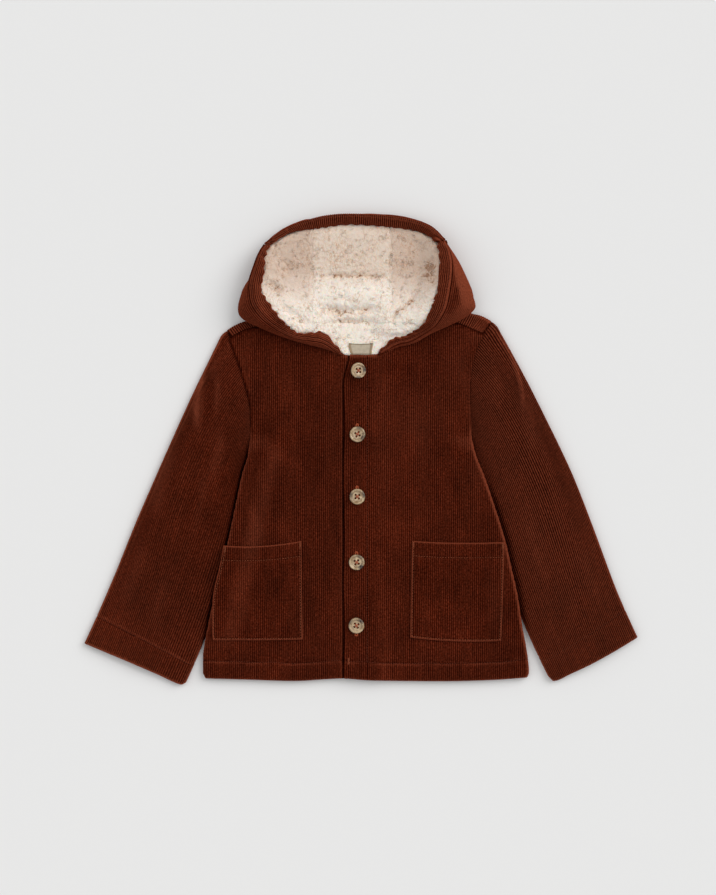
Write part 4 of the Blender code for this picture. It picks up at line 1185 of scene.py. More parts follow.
# Hood ---------------------------------------------------------------------------------------------
# Two side panels and a centre panel of the same cloth. It lies open on its crown, so its front edge
# stands up as a rim: a turned hem with one stitched line. Ribs run along the rim at the sides and
# across it on the centre panel.
HOOD_WALL = 2
ON_TABLE = 0
ON_BODY = 2 * FOLD_RADIUS + SEAM_GAP
FACING_FALL, BULGE_SHARE, FOOT_SHARE, FOOT_LIMIT = 0.22, 0.42, 0.35, 9
Station = namedtuple("Station", "rim_x rim_y out_x out_y ridge_share ridge_z base_z end_x end_y")
HOOD = {
    "right": listed(Station,
        (-20, 104.2, -23.5, 102.4, 0.6, 13, ON_BODY, -22.3, 104),
        (-39.6, 127, -40, 108.5, 0.6, 18, ON_BODY, -41.5, 114),
        (-55, 127, -58.5, 113.3, 0.55, 21, ON_BODY, -52, 121),
        (-70.4, 127.5, -78.5, 119, 0.6, 23, ON_BODY, -60.5, 127),
        (-87.6, 142, -110.5, 131.6, 0.55, 27, ON_BODY, -61, 138),
        (-102.3, 162.3, -134, 146, 0.46, 30, ON_BODY, -62.5, 156.5),
        (-108.9, 173.8, -131.5, 171.5, 0.54, 31, ON_TABLE, -69.4, 172),
        (-105.8, 191.2, -121.2, 189.8, 0.86, 31, ON_TABLE, -80.6, 188),
        (-104.2, 210, -113.6, 210.4, 0.86, 28, ON_TABLE, -92.4, 205),
        (-99.2, 222.2, -106.6, 222.8, 0.86, 22, ON_TABLE, -104, 222.4)),
    "centre": listed(Station,
        (-98.4, 223.4, -105.6, 224.2, 0.86, 22, ON_TABLE, -60.4, 163),
        (-76.6, 237, -82.8, 242, 0.88, 17, ON_TABLE, -47.5, 150),
        (-45.1, 242.1, -47.3, 255.2, 0.9, 15, ON_TABLE, -28, 141),
        (-9.9, 246, -9.9, 258.8, 0.9, 15, ON_TABLE, 0, 139),
        (41.4, 242.1, 42.9, 254.9, 0.9, 16, ON_TABLE, 28, 141.6),
        (68.5, 236.4, 75, 245, 0.88, 19, ON_TABLE, 46.5, 152.6),
        (82, 225.8, 92.6, 229, 0.8, 27, ON_TABLE, 59.2, 167)),
    "left": listed(Station,
        (82.9, 224.4, 94, 227, 0.8, 27.5, ON_TABLE, 90.8, 226),
        (85.4, 205.2, 108.4, 204.1, 0.53, 34, ON_TABLE, 79.8, 205),
        (84, 179, 120, 179, 0.34, 36, ON_TABLE, 67.2, 180),
        (80.8, 165.5, 123.4, 166, 0.31, 35.5, ON_BODY, 66.8, 168.5),
        (76.2, 152.9, 124.6, 152.9, 0.3, 34, ON_BODY, 60, 153),
        (67.1, 135.3, 109, 140.5, 0.36, 29, ON_BODY, 60, 141),
        (55.3, 127.4, 80, 127, 0.6, 24, ON_BODY, 56.5, 132),
        (45.4, 122.7, 58.3, 115, 0.6, 19.5, ON_BODY, 49, 122),
        (33.7, 120.5, 40.7, 110.6, 0.6, 16.5, ON_BODY + 0.4, 36, 112.5),
        (17.6, 104.6, 21.5, 103.2, 0.6, 14, ON_BODY + 2.6, 20, 104.6)),
}
HOOD_CREASES = listed(Crease,
    (-122, 190, -112, 140, 4, 5, 1.4), (-116, 150, -84, 128, 3, 4, -1), (-124, 172, -96, 140, -5, 4, 0.9),
    (104, 208, 114, 150, -4, 5, 1.2), (112, 186, 92, 140, -4, 4, -1.1), (100, 150, 62, 126, -3, 4, 0.9),
    (-66, 250, -20, 253, 1, 3, 0.6), (20, 253, 60, 249, 1, 3, -0.6), (-60, 119, -34, 112, 1, 2.5, 0.8),
    (46, 118, 72, 124, 1, 2.5, -0.7), (-112, 236, -88, 214, 1, 1.5, -3),
    (-84, 246, -68, 228, -1, 1.8, -1.6), (78, 234, 102, 216, 1, 1.4, -2.6),
    (-116, 216, -98, 202, 1, 1.8, -1.4))
RIM_ROLL, RIM_DROP, RIM_SPARE, RIM_STITCH = 3, 2.4, 1.5, 1.7
RIDGE_CREASE = 1.9
CLOTH_TRIM, SEAM_TUCK, SIDE_ROW_STEP = 0.9, 0.8, 2


def catmull_rom(points, steps):
    """Points on a smooth curve through rows of an array."""
    padded = np.vstack((points[:1], points, points[-1:]))
    made = []
    for i in range(len(points) - 1):
        a, b, c, d = padded[i:i + 4]
        for t in np.arange(steps) / steps:
            made.append(((-t**3 + 2 * t**2 - t) * a + (3 * t**3 - 5 * t**2 + 2) * b
                         + (-3 * t**3 + 4 * t**2 + t) * c + (t**3 - t**2) * d) / 2)
    return np.array(made + [points[-1]])


def distances(points):
    """How far along a path each of its points lies."""
    return np.concatenate(([0], np.cumsum(np.linalg.norm(np.diff(points, axis=0), axis=1))))


class HoodPanel:
    """A hood panel read by the distance out from its ridge and the distance along the ridge."""

    SECTIONS = 14
    STEP = 0.5

    def __init__(self, stations, pucker):
        self.pucker = pucker
        rows = catmull_rom(np.array(stations, float), self.SECTIONS)
        bases = np.interp(np.arange(len(rows)) / self.SECTIONS, range(len(stations)),
                          [station.base_z for station in stations])
        sections = [self.section(Station(*row)._replace(base_z=base)) for row, base in zip(rows, bases)]
        ridges = np.array([section[1] for section in sections])
        self.facing = np.array([arc[0] for _, _, arc in sections])
        self.reach = np.array([arc[-1] for _, _, arc in sections])
        self.along = distances(ridges)
        self.arcs = np.arange(self.facing.min() - 1, self.reach.max() + 1, self.STEP)
        self.places = np.array([[np.interp(self.arcs, arc, points[:, k]) for k in range(3)]
                                for points, _, arc in sections]).transpose(0, 2, 1)
        self.length = float(self.along[-1])

    @staticmethod
    def section(station):
        """Points round one section, its ridge point, and each point's distance out from the ridge."""
        rim = np.array((station.rim_x, station.rim_y))
        out = np.array((station.out_x, station.out_y)) - rim
        reach = float(np.hypot(*out))
        out = out / reach
        reach -= CLOTH_TRIM
        ridge, height = station.ridge_share * reach, station.ridge_z - station.base_z
        facing_z = station.ridge_z - FACING_FALL * ridge
        bulge_z = station.base_z + BULGE_SHARE * height
        foot = min(FOOT_SHARE * reach, FOOT_LIMIT)
        path = [(-RIM_SPARE, facing_z - FACING_FALL * RIM_SPARE),
                (ridge * 0.5, mix(facing_z, station.ridge_z, 0.62)), (ridge, station.ridge_z),
                (mix(ridge, reach, 0.55), mix(bulge_z, station.ridge_z, 0.75)), (reach, bulge_z),
                (reach - 0.25 * foot, station.base_z + 0.14 * height), (reach - foot, station.base_z)]
        points = [(*(rim + out * distance), z) for distance, z in path]
        end = np.array((station.end_x, station.end_y))
        points += [(*mix(np.array(points[-1][:2]), end, 0.3), station.base_z), (*end, station.base_z)]
        steps = 12
        smooth_path = off_table(catmull_rom(np.array(points), steps), station.base_z)
        arc = distances(smooth_path)
        return smooth_path, smooth_path[2 * steps], arc - arc[2 * steps]

    @staticmethod
    def puckers(along):
        """The in and out of the turned edge, where its stitching draws it up."""
        waves = np.sin(along / 1.75 + 1.6 * uneven(along * 1.3, along * 0.6))
        return waves * (0.7 + 0.3 * uneven(along * 2, 9))

    def limits(self, along):
        return np.interp(along, self.along, self.facing), np.interp(along, self.along, self.reach)

    def base(self, arc, along):
        i = np.interp(along, self.along, np.arange(len(self.along)))
        i = i + (along - np.clip(along, 0, self.length)) / (self.along[1] - self.along[0])
        j = np.clip((arc - self.arcs[0]) / self.STEP, 0, len(self.arcs) - 1.001)
        i0, j0 = np.clip(i.astype(int), 0, len(self.along) - 2), j.astype(int)
        fi, fj = (i - i0)[:, None], (j - j0)[:, None]
        near = mix(self.places[i0, j0], self.places[i0, j0 + 1], fj)
        far = mix(self.places[i0 + 1, j0], self.places[i0 + 1, j0 + 1], fj)
        return mix(near, far, fi)

    def outer(self, arc, along):
        """The right side, with its folds, its turned edge drawn up and its ends let into the seams."""
        low, _ = self.limits(along)
        drawn = self.pucker * (1 + self.puckers(along)) * np.exp(-np.maximum(arc - low, 0) / 5)
        points = self.base(arc + drawn, along)
        x, y = points[:, 0], points[:, 1]
        folds = creased(HOOD_CREASES, x, y) + 0.3 * uneven(x * 1.7, y * 1.7)
        rolled = RIM_DROP * (1 - round_edge(arc - low, RIM_ROLL))
        band = (0.8 * close(arc + 4.5, 3.2) + sewn_line(arc + RIM_STITCH, 0.8, 0.5)
                - 1.7 * close(arc - RIDGE_CREASE, 1.1))
        pulled = -0.55 * self.puckers(along) * close(arc - low, 5)
        above = smooth((points[:, 2] - 9) / 5)
        points[:, 2] += (folds * smooth((arc - low) / 3) + band + pulled) * above - rolled
        end = np.minimum(along, self.length - along)
        points[:, 2] -= 1.1 * close(np.maximum(end, 0), 1.3)
        return off_table(points, LEAST_HEIGHT)

    def inner(self, arc, along, directions):
        return off_table(self.outer(arc, along) - directions * HOOD_WALL, 0.3)

    def fade(self, arc, along):
        low, _ = self.limits(along)
        return round_edge(arc - low, 1.2) * (1 - 0.45 * close(arc + 1.2, 0.9))

    def wear(self, arc, along):
        low, _ = self.limits(along)
        # Painted shade along the panel seams and in the crease outside the ridge, painted light along the
        # ridge and on the rim's edge.
        seam = -0.7 * close(np.minimum(along, self.length - along), 1.2)
        crease_shade_ridge_light = -0.75 * close(arc - RIDGE_CREASE, 1) + 0.55 * close(arc + 0.1, 0.6)
        return seam + crease_shade_ridge_light + 0.35 * close(arc - low, 1) + 0.08


def hood_side(name, panel):
    """A side panel: ribs run along the rim, so the columns are at steady distances from the ridge."""
    def inside(arcs, alongs):
        low, high = panel.limits(alongs)
        return np.minimum(arcs - low, high - arcs)

    def inner(u, v):
        return panel.inner(u, v, face_directions(panel.outer, u, v, True))

    def bold(u, v):
        return 1.3 + 4 * smooth((1.5 - u) / 3)
    columns = cut_columns(float(panel.facing.min()), float(panel.reach.max()), -SEAM_TUCK,
                          panel.length + SEAM_TUCK, inside)
    rows = list(np.arange(SIDE_ROW_STEP, panel.length, SIDE_ROW_STEP))
    return ribbed_panel(name, columns, rows, panel.outer, inner, panel.fade, panel.wear, turned=True,
                        every=2, nap_light=1.45, bold=bold)


def hood_middle(name, panel):
    """The centre panel: ribs run across the rim, so the columns are at steady distances along it."""
    def swapped(reading):
        return lambda u, v: reading(v, u)

    def inner(u, v):
        return panel.inner(v, u, face_directions(outer, u, v, False))

    def bold(u, v):
        return np.full_like(u, 4)
    outer = swapped(panel.outer)
    columns = []
    for u in rib_columns(-SEAM_TUCK, panel.length + SEAM_TUCK):
        low, high = panel.limits(np.array([u]))
        columns.append((u, [(float(low[0]), float(high[0]))]))
    rows = list(np.arange(-24, 30, 0.9)) + list(np.arange(32, 180, 6))
    return ribbed_panel(name, columns, rows, outer, inner, swapped(panel.fade), swapped(panel.wear),
                        every=3, nap_light=1.2, bold=bold)


HOOD_PUCKERS = {"right": 1.5, "centre": 0.7, "left": 1.6}
hood = {name: HoodPanel(stations, HOOD_PUCKERS[name]) for name, stations in HOOD.items()}
hood_pieces = {
    "right": hood_side("hood_right_cloth", hood["right"]),
    "left": hood_side("hood_left_cloth", hood["left"]),
    "centre": hood_middle("hood_centre_cloth", hood["centre"]),
}
for name, piece in hood_pieces.items():
    dress(piece, "hood_" + name)


# Fleece lining ------------------------------------------------------------------------------------
# Curly cream sherpa fleece. The hood's lining is cut in three panels like the hood, and below the
# neck seam the body's own lining shows. The pile is short and rosy at the crown, long and pale below.
FLEECE_WALL = 5
FLEECE_FLOOR = HOOD_WALL + SEAM_GAP
Lining = namedtuple("Lining", "y right_x right_z left_x left_z side_z centre_z")
LINING = listed(Lining,
    (104, -21, 9.4, 18, 9.6, 9.3, 9.3), (116, -41, 10.2, 38, 10.6, 9.6, 9.3),
    (124, -66, 14, 52, 13.6, 12.4, 9.4), (127, -73, 16, 56, 15.6, 15.6, 9.4),
    (130, -76, 17.6, 61, 17.6, 16.2, 9.4), (138, -85, 19.6, 70, 22, 16.5, 9.8),
    (147, -93, 21.6, 75.5, 25.6, 16.5, 12.8), (152, -97, 22.3, 77.5, 27.3, 16.5, 11.8),
    (158, -101, 23, 80, 28.6, 15.6, 13.6), (166, -106, 24, 82.5, 29.8, 13.4, 13.2),
    (174, -110, 25, 85, 30.5, 11, 10.8), (187, -108.2, 24.6, 86.6, 30.2, 8.6, 7.8),
    (196, -106.6, 24, 87, 29.4, 8.2, 8.2), (208, -105.6, 22.6, 86.8, 27.4, 8.6, 9),
    (219, -102, 18.8, 85.4, 23.6, 9, 9.6), (227, -93, 15.8, 81, 19.6, 9.8, 10.2),
    (234, -82.5, 13, 73.5, 15, 10.2, 10.4), (240, -63, 10.6, 56, 11.6, 9.6, 9.8),
    (248, -30, 9.4, 20, 9.4, 9.2, 9.2))
LINING_SEAMS = -53, 33.2
BOWL_MIDDLE_X, BOWL_FLOOR_HALF, BOWL_FLOOR_RUN, WALL_RUN = -10, 18, 25, 26
CROWN_Y = 187
FLEECE_CREASES = listed(Crease,
    (-52, 155, 26, 153, -5, 5.5, -4.2), (-60, 170, 36, 168, 3, 7, 2.6), (28, 133, 66, 171, 2, 3.2, -4),
    (38, 131, 76, 166, 2, 6.5, 2.6), (-60, 187, 40, 188, 1.5, 2.6, -3), (-58, 181, 36, 181.5, 1.5, 4, 1.6),
    (72, 212, 85, 172, -3, 5, -3.6), (62, 190, 88, 186, 1, 2.6, -3), (66, 200, 88, 198, 1, 2.6, -2.2),
    (-108, 183, -84, 170, 1, 3, -3.4), (-92, 176, -58, 148, -4, 7, 2.2),
    (-46, 138.5, 22, 137.5, 1, 2.4, -2.6), (-86, 160, -58, 136, -2, 4, -2), (-30, 146, 18, 144, 2, 4, 1.6),
    (-88, 190, -70, 206, 2, 6, -1.4), (40, 196, 60, 212, -2, 5, -1.4))
fleece_reads = {name: curve(LINING, "y", name) for name in Lining._fields[1:]}


def fleece_top(x, y):
    """Height of the fleece: a floor that rises to the sides, and a wall up to the rim."""
    row = {name: reading(y) for name, reading in fleece_reads.items()}
    from_floor = np.abs(x - BOWL_MIDDLE_X) - BOWL_FLOOR_HALF
    floor = mix(row["centre_z"], row["side_z"], smooth(from_floor / BOWL_FLOOR_RUN))
    depth = np.where(x < BOWL_MIDDLE_X, x - row["right_x"], row["left_x"] - x)
    rim_z = np.where(x < BOWL_MIDDLE_X, row["right_z"], row["left_z"])
    return np.maximum(floor, mix(floor, rim_z, 1 - smooth(depth / WALL_RUN)))


def curls(x, y, size, salt):
    """Round tufts of pile, one to a cell, uneven in place, width and height."""
    cell_x, cell_y = np.floor(x / size), np.floor(y / size)
    height = np.zeros_like(x)
    for step_x in (-1, 0, 1):
        for step_y in (-1, 0, 1):
            a, b = cell_x + step_x, cell_y + step_y
            centre_x = (a + 0.15 + 0.7 * scatter(a, b, salt)) * size
            centre_y = (b + 0.15 + 0.7 * scatter(a, b, salt + 1)) * size
            radius = size * (0.75 + 0.4 * scatter(a, b, salt + 2))
            away = ((x - centre_x)**2 + (y - centre_y)**2) / radius**2
            height = np.maximum(height, (0.6 + 0.4 * scatter(a, b, salt + 3)) * np.clip(1 - away, 0, 1)**0.7)
    return height


def furrows(x, y, size, salt):
    """Winding furrows between locks of pile: nought along a furrow and one away from it."""
    wander = drift(x, y, size, salt) + 0.55 * drift(x + 0.6 * y, y - 0.6 * x, size * 0.6, salt + 1)
    return 1 - close(wander, 0.30)


def pile(x, y, folds):
    """Height of the fleece's pile, long below the crown's fold and short above it, and its full height.

    Its furrows are deeper in some patches than in others, and deepest down in the folds.
    """
    bent_x = x + 3 * drift(x, y, 8.5, 31) + 0.9 * drift(x, y, 3.7, 32)
    bent_y = y + 3 * drift(x, y, 8.5, 33) + 0.9 * drift(x, y, 3.7, 34)
    long_share = smooth((CROWN_Y + 4 - y) / 8)
    clumps = curls(bent_x, bent_y, 8.5, 3)
    locks, strands = furrows(bent_x, bent_y, 5.6, 11), furrows(bent_x + 50, bent_y, 3, 15)
    ripples = furrows(bent_x, bent_y + 70, 3.3, 21)
    long_pile = 1.5 * clumps + 0.9 * locks + 0.5 * strands
    short_pile = 0.4 * clumps + 0.75 * ripples + 0.35 * strands
    tallest = mix(1.5, 2.9, long_share)
    deep = 0.62 + 0.30 * drift(x, y, 21, 41) + 0.34 * np.clip(-folds, 0, 3)
    return tallest - (tallest - mix(short_pile, long_pile, long_share)) * np.clip(deep, 0.3, 1.35), tallest


# Fleece colours: the deep one is painted shade down in the pile, the tip one painted light on it, and the
# parting one painted shade between strands.
FLEECE_DEEP_SHADE, FLEECE_MID, FLEECE_LIT_TIP = (0.45, 0.29, 0.19), (0.83, 0.69, 0.58), (0.91, 0.83, 0.745)
FLEECE_PARTING_SHADE = (0.76, 0.59, 0.46)
FLEECE_BLUSH, FLEECE_SHADE = (0.86, 0.80, 0.755), (0.86, 0.80, 0.77)
SHADE_MIDDLE_X, SHADE_START, SHADE_END = -9.9, 40, 47
SHADE_LOW_Y, SHADE_HIGH_Y = 150, 175
FLEECE_STEP = 0.8


def sherpa():
    """Cream fleece: painted shade down at the roots and in the partings, painted light at the tips, a little
    darker and rosier at the crown, and painted shade on the side walls.
    """
    fleece, tree = finished("cream_sherpa", Roughness=0.95, Specular_IOR_Level=0.1, Sheen_Weight=0.15,
                            Sheen_Roughness=0.5, Subsurface_Weight=0.75,
                            Subsurface_Radius=(0.0035, 0.0026, 0.0020))
    x, y, _ = node(tree, "ShaderNodeSeparateXYZ", place_in_space(tree)).outputs
    fibre = mottle(tree, 900, 2)
    # Painted shade down in the pile and painted light at its tips.
    tone = toned(tree, worked(tree, "MULTIPLY_ADD", fibre, 0.3, read(tree, "pile")), (0.08, FLEECE_DEEP_SHADE),
                 (0.30, FLEECE_MID), (0.70, FLEECE_LIT_TIP))
    crown = reached(tree, y, (CROWN_Y - 12) * MM, (CROWN_Y + 8) * MM)
    blush = tinted(tree, crown, tone, FLEECE_BLUSH, "MULTIPLY")
    # Painted shade on the side walls.
    from_middle = worked(tree, "ABSOLUTE", worked(tree, "ADD", x, -SHADE_MIDDLE_X * MM))
    beside = product(tree, reached(tree, from_middle, SHADE_START * MM, SHADE_END * MM),
                     reached(tree, y, SHADE_LOW_Y * MM, SHADE_HIGH_Y * MM))
    blush = tinted(tree, beside, blush, FLEECE_SHADE, "MULTIPLY")
    # Painted shade in the fine partings between strands.
    drawn = node(tree, "ShaderNodeMapping", place_in_space(tree), Scale=(1, 0.6, 0.4)).outputs[0]
    strands = mottle(tree, 330, 1, drawn, Distortion=0.9)
    away = worked(tree, "ABSOLUTE", worked(tree, "ADD", strands, -0.5))
    parting_shade = product(tree, reached(tree, away, 0, 0.055, 1, 0),
                     reached(tree, mottle(tree, 60, 2), 0.35, 0.62, 0.12, 0.85))
    surface(tree, tinted(tree, parting_shade, blush, FLEECE_PARTING_SHADE, "MULTIPLY"), fibre, 0.5, 0.0005)
    return fleece


cream_sherpa = sherpa()
LABEL_X, LABEL_LOW, LABEL_HIGH, LABEL_FLOOR = 13.2, 103.8, 114.8, 10


def slab_faces(lines, count):
    """Faces of a closed slab: a grid of lines of points on top, and the same again below it."""
    total = lines * count
    faces = []
    for i in range(lines - 1):
        for j in range(count - 1):
            a = i * count + j
            faces.append((a, a + 1, a + count + 1, a + count))
            faces.append((a + total, a + count + total, a + count + 1 + total, a + 1 + total))
    ring = [(j, j + 1) for j in range(count - 1)]
    ring += [((lines - 1) * count + j + 1, (lines - 1) * count + j) for j in range(count - 1)]
    ring += [((i + 1) * count, i * count) for i in range(lines - 1)]
    ring += [(i * count + count - 1, (i + 1) * count + count - 1) for i in range(lines - 1)]
    return faces + [(b, a, a + total, b + total) for a, b in ring]


def fleece_panel(name, rows, support):
    """A closed slab of fleece between two edges, each row of them being (y, start x, end x)."""
    keys, starts, ends = (np.array(column, float) for column in zip(*rows))
    ys = np.linspace(keys[0], keys[-1], int((keys[-1] - keys[0]) / FLEECE_STEP) + 1)
    count = int(np.max(ends - starts) / FLEECE_STEP) + 1
    shares = np.linspace(0, 1, count)
    x = np.interp(ys, keys, starts)[:, None] * (1 - shares) + np.interp(ys, keys, ends)[:, None] * shares
    y = np.repeat(ys[:, None], count, axis=1)
    flat_x, flat_y = x.ravel(), y.ravel()
    folds = creased(FLEECE_CREASES, flat_x, flat_y)
    ground = fleece_top(flat_x, flat_y) + folds
    edge = np.minimum(np.minimum(flat_x - x[:, 0].repeat(count), x[:, -1].repeat(count) - flat_x),
                      np.minimum(flat_y - ys[0], ys[-1] - flat_y))
    at_rim = np.minimum(flat_x - fleece_reads["right_x"](flat_y), fleece_reads["left_x"](flat_y) - flat_x)
    seam = mix(0.3, 0.9, smooth((flat_y - CROWN_Y + 12) / 12)) * close(edge, 1.6)
    seam = seam * (0.6 + 0.5 * drift(0.2 * flat_x, flat_y, 9, 56))
    under_rim = 1.3 * smooth((2 - at_rim) / 3)
    on_label = np.minimum(LABEL_X + 0.4 - np.abs(flat_x),
                          np.minimum(LABEL_HIGH + 0.2 - flat_y, flat_y - LABEL_LOW + 1))
    under_label = smooth((on_label + 1.2) / 1.6)
    fluff, tallest = pile(flat_x, flat_y, folds)
    under_front = 1.9 * smooth((104.2 - flat_y) / 1.4)
    top = ground - 1.6 + fluff - seam - under_rim - under_front
    top = mix(top, np.minimum(top, LABEL_FLOOR - 0.2), under_label)
    under = np.maximum(fleece_top(flat_x, flat_y) - FLEECE_WALL, support)
    top = np.maximum(top, under + 0.6)
    sway_x = (1.3 * drift(flat_x, flat_y, 6, 51) + 0.6 * drift(flat_x, flat_y, 2.6, 52)
              + 2 * drift(0.3 * flat_x, flat_y, 13, 55))
    sway_y = drift(flat_x, flat_y, 6, 53) + 0.6 * drift(flat_x, flat_y, 2.6, 54)
    upper = np.column_stack((flat_x + sway_x, flat_y + sway_y, top))
    lower = np.column_stack((flat_x, flat_y, under))
    inner = smooth((at_rim - 2) / 3) * smooth((flat_y - CROWN_Y + 14) / 12)
    # Painted shade down in the pile, along the panel seams and in the folds' troughs, and painted light on
    # the folds' ridges.
    shade = np.clip(fluff / tallest, 0, 1) * 0.9 - 0.14 * close(edge, 1.2) * inner + 0.08 * folds
    return mesh_piece(name, np.vstack((upper, lower)), slab_faces(len(ys), count), cream_sherpa,
                      pile=np.concatenate((shade, np.zeros_like(top))),
                      bare=np.concatenate((under_label, np.ones_like(top))))


def spokes(count):
    """The cosine and sine of each of a number of even steps round a circle."""
    return [(math.cos(2 * math.pi * n / count), math.sin(2 * math.pi * n / count)) for n in range(count)]


def tube_faces(rings, sides):
    """Faces round a closed tube of rings, with its two flat ends."""
    faces = []
    for n in range(rings - 1):
        for side in range(sides):
            a, b = n * sides + side, n * sides + (side + 1) % sides
            faces.append((a, b, b + sides, a + sides))
    return faces + [tuple(reversed(range(sides))), tuple((rings - 1) * sides + side for side in range(sides))]


def curl_mesh(name, turns, radius, height, thickness):
    """One loose curl of pile: a short tapering tube wound round a little."""
    segments, sides = 6, 3
    vertices, root_shading = [], []
    for n in range(segments + 1):
        t = n / segments
        angle = turns * 2 * math.pi * t
        wound = 0.35 + 0.65 * t
        centre = np.array((math.cos(angle) * radius * wound, math.sin(angle) * radius * wound,
                           height * math.sin(t * 2.2)))
        girth = thickness * (1 - 0.75 * t)
        vertices += [centre + girth * np.array((beside, up * 0.4, up)) for beside, up in spokes(sides)]
        # Painted shade at each curl's root, fading towards its tip.
        root_shading += [0.72 + 0.3 * t] * sides
    return mesh_piece(name, vertices, tube_faces(segments + 1, sides), shown=False, pile=root_shading)


def new_tree(name, **inputs):
    """A Geometry Nodes tree with its named inputs, each a kind and a usual value, and what they give."""
    tree = bpy.data.node_groups.new(name, "GeometryNodeTree")
    for label, (kind, value) in inputs.items():
        made = tree.interface.new_socket(name=label, in_out="INPUT", socket_type="NodeSocket" + kind)
        if value is not None:
            made.default_value = value
    tree.interface.new_socket(name="Made", in_out="OUTPUT", socket_type="NodeSocketGeometry")
    return tree, tree.nodes.new("NodeGroupInput").outputs


def copied(tree, points, shape, material, **places):
    """Ends a tree: a copy of a shape at each point, made real and given its material."""
    copies = node(tree, "GeometryNodeInstanceOnPoints", Points=points, Instance=shape, **places)
    real = node(tree, "GeometryNodeRealizeInstances", copies.outputs[0])
    finish = node(tree, "GeometryNodeSetMaterial", Geometry=real.outputs[0], Material=material)
    node(tree, "NodeGroupOutput", finish.outputs[0])
    return tree


def tuft_tree():
    """Geometry Nodes: curls scattered over the fleece's upper side, each turned and sized at random."""
    tree, given = new_tree("fleece_tufts", Fleece=("Geometry", None), Density=("Float", 90000),
                           Smallest=("Float", 0.6), Largest=("Float", 1.2), Seed=("Int", 7),
                           Curls=("Collection", None), Pile=("Material", None))
    seed = given["Seed"]
    normal = node(tree, "GeometryNodeInputNormal").outputs[0]
    height = node(tree, "ShaderNodeSeparateXYZ", normal).outputs["Z"]
    upward = node(tree, "FunctionNodeCompare", height, 0.05, operation="GREATER_THAN")
    bare = node(tree, "GeometryNodeInputNamedAttribute", data_type="FLOAT", Name="bare")
    free = node(tree, "FunctionNodeCompare", bare.outputs[0], 0.3, operation="LESS_THAN")
    both = node(tree, "FunctionNodeBooleanMath", upward.outputs[0], free.outputs[0])
    points = node(tree, "GeometryNodeDistributePointsOnFaces", Mesh=given["Fleece"],
                  Selection=both.outputs[0], Density=given["Density"], Seed=seed)
    kinds = node(tree, "GeometryNodeCollectionInfo", Collection=given["Curls"], Separate_Children=True,
                 Reset_Children=True)
    turn = node(tree, "FunctionNodeRandomValue", (-0.35, -0.35, -math.pi), (0.35, 0.35, math.pi), Seed=seed,
                data_type="FLOAT_VECTOR")
    size = node(tree, "FunctionNodeRandomValue", None, None, given["Smallest"], given["Largest"], Seed=seed)
    return copied(tree, points.outputs["Points"], kinds.outputs[0], given["Pile"], Pick_Instance=True,
                  Rotation=turn.outputs[0], Scale=size.outputs[1])


def grown(name, source, tree, **values):
    """A plain mesh piece from a source object and a Geometry Nodes tree with its named inputs."""
    maker = source.modifiers.new("make", "NODES")
    maker.node_group = tree
    names = {item.name: item.identifier for item in tree.interface.items_tree if item.in_out == "INPUT"}
    for key, value in values.items():
        maker[names[key]] = value
    ready = source.evaluated_get(bpy.context.evaluated_depsgraph_get())
    mesh = bpy.data.meshes.new_from_object(ready)
    source.modifiers.remove(maker)
    mesh.name = name
    return placed(name, mesh)


UNDER_RIM = 2.5
curl_kinds = bpy.data.collections.new("curl_kinds")
for number, (turns, radius, height, thickness) in enumerate(
        ((0.7, 2.2, 0.8, 0.8), (0.5, 2.9, 0.6, 0.7), (0.9, 1.8, 1, 0.75))):
    curl_kinds.objects.link(curl_mesh("curl_%d" % number, turns, radius, height, thickness))
tufts = tuft_tree()
seam_right, seam_left = LINING_SEAMS
right_rows = [(123.5, -70, seam_right),
              *[(row.y, row.right_x - UNDER_RIM, seam_right) for row in LINING[3:-1]], (243, -60, seam_right)]
left_rows = [(130, 54.4, 63.5), (137.9, 54.4, 72),
             *[(row.y, seam_left, row.left_x + UNDER_RIM) for row in LINING[5:-1]], (244.5, seam_left, 46)]
centre_rows = [*[(row.y, seam_right, seam_left) for row in LINING[5:-1]], (247.5, -36, 26)]
neck_rows = [(102.4, -12, 13), (103.2, -17.5, 14.8), (104.2, -22, 17.6), (110.8, -33, 31), (117.5, -43.6, 42),
             (121, -47.5, 48.5), (123.4, -53, 53), (127.5, -53, 59), (129.6, -53, 61),
             (130.4, -53, 54.4), (138, -53, 54.4)]
FleecePiece = namedtuple("FleecePiece", "node rows support flat area seed")
FLEECES = listed(FleecePiece,
    ("lining_right", right_rows, FLEECE_FLOOR, (0.078, 0.127), 0.0066, 11),
    ("lining_left", left_rows, FLEECE_FLOOR, (0.083, 0.127), 0.0070, 12),
    ("lining_centre", centre_rows, FLEECE_FLOOR, (0.088, 0.113), 0.0096, 13),
    ("lining_neck", neck_rows, BODY_WALL + SEAM_GAP, (0.113, 0.036), 0.0032, 14))
for cut in FLEECES:
    slab = dress(fleece_panel(cut.node + "_fleece", cut.rows, cut.support), cut.node)
    fluff = grown(cut.node + "_tufts", slab, tufts, Density=17000.0, Smallest=0.7, Largest=1.3, Seed=cut.seed,
                  Curls=curl_kinds, Pile=cream_sherpa)
    dress(fluff)


# Neck label ---------------------------------------------------------------------------------------
# A plain woven tape sewn to the lining at the middle of the neck: ivory, its two ends folded under
# and stitched down. It carries no words.
LABEL_WALL, LABEL_FOLD = 0.7, 2.4
TAPE_IVORY, TAPE_TAN, TAPE_LINE_AND_SHADOW = (0.52, 0.44, 0.33), (0.38, 0.27, 0.165), (0.11, 0.065, 0.035)


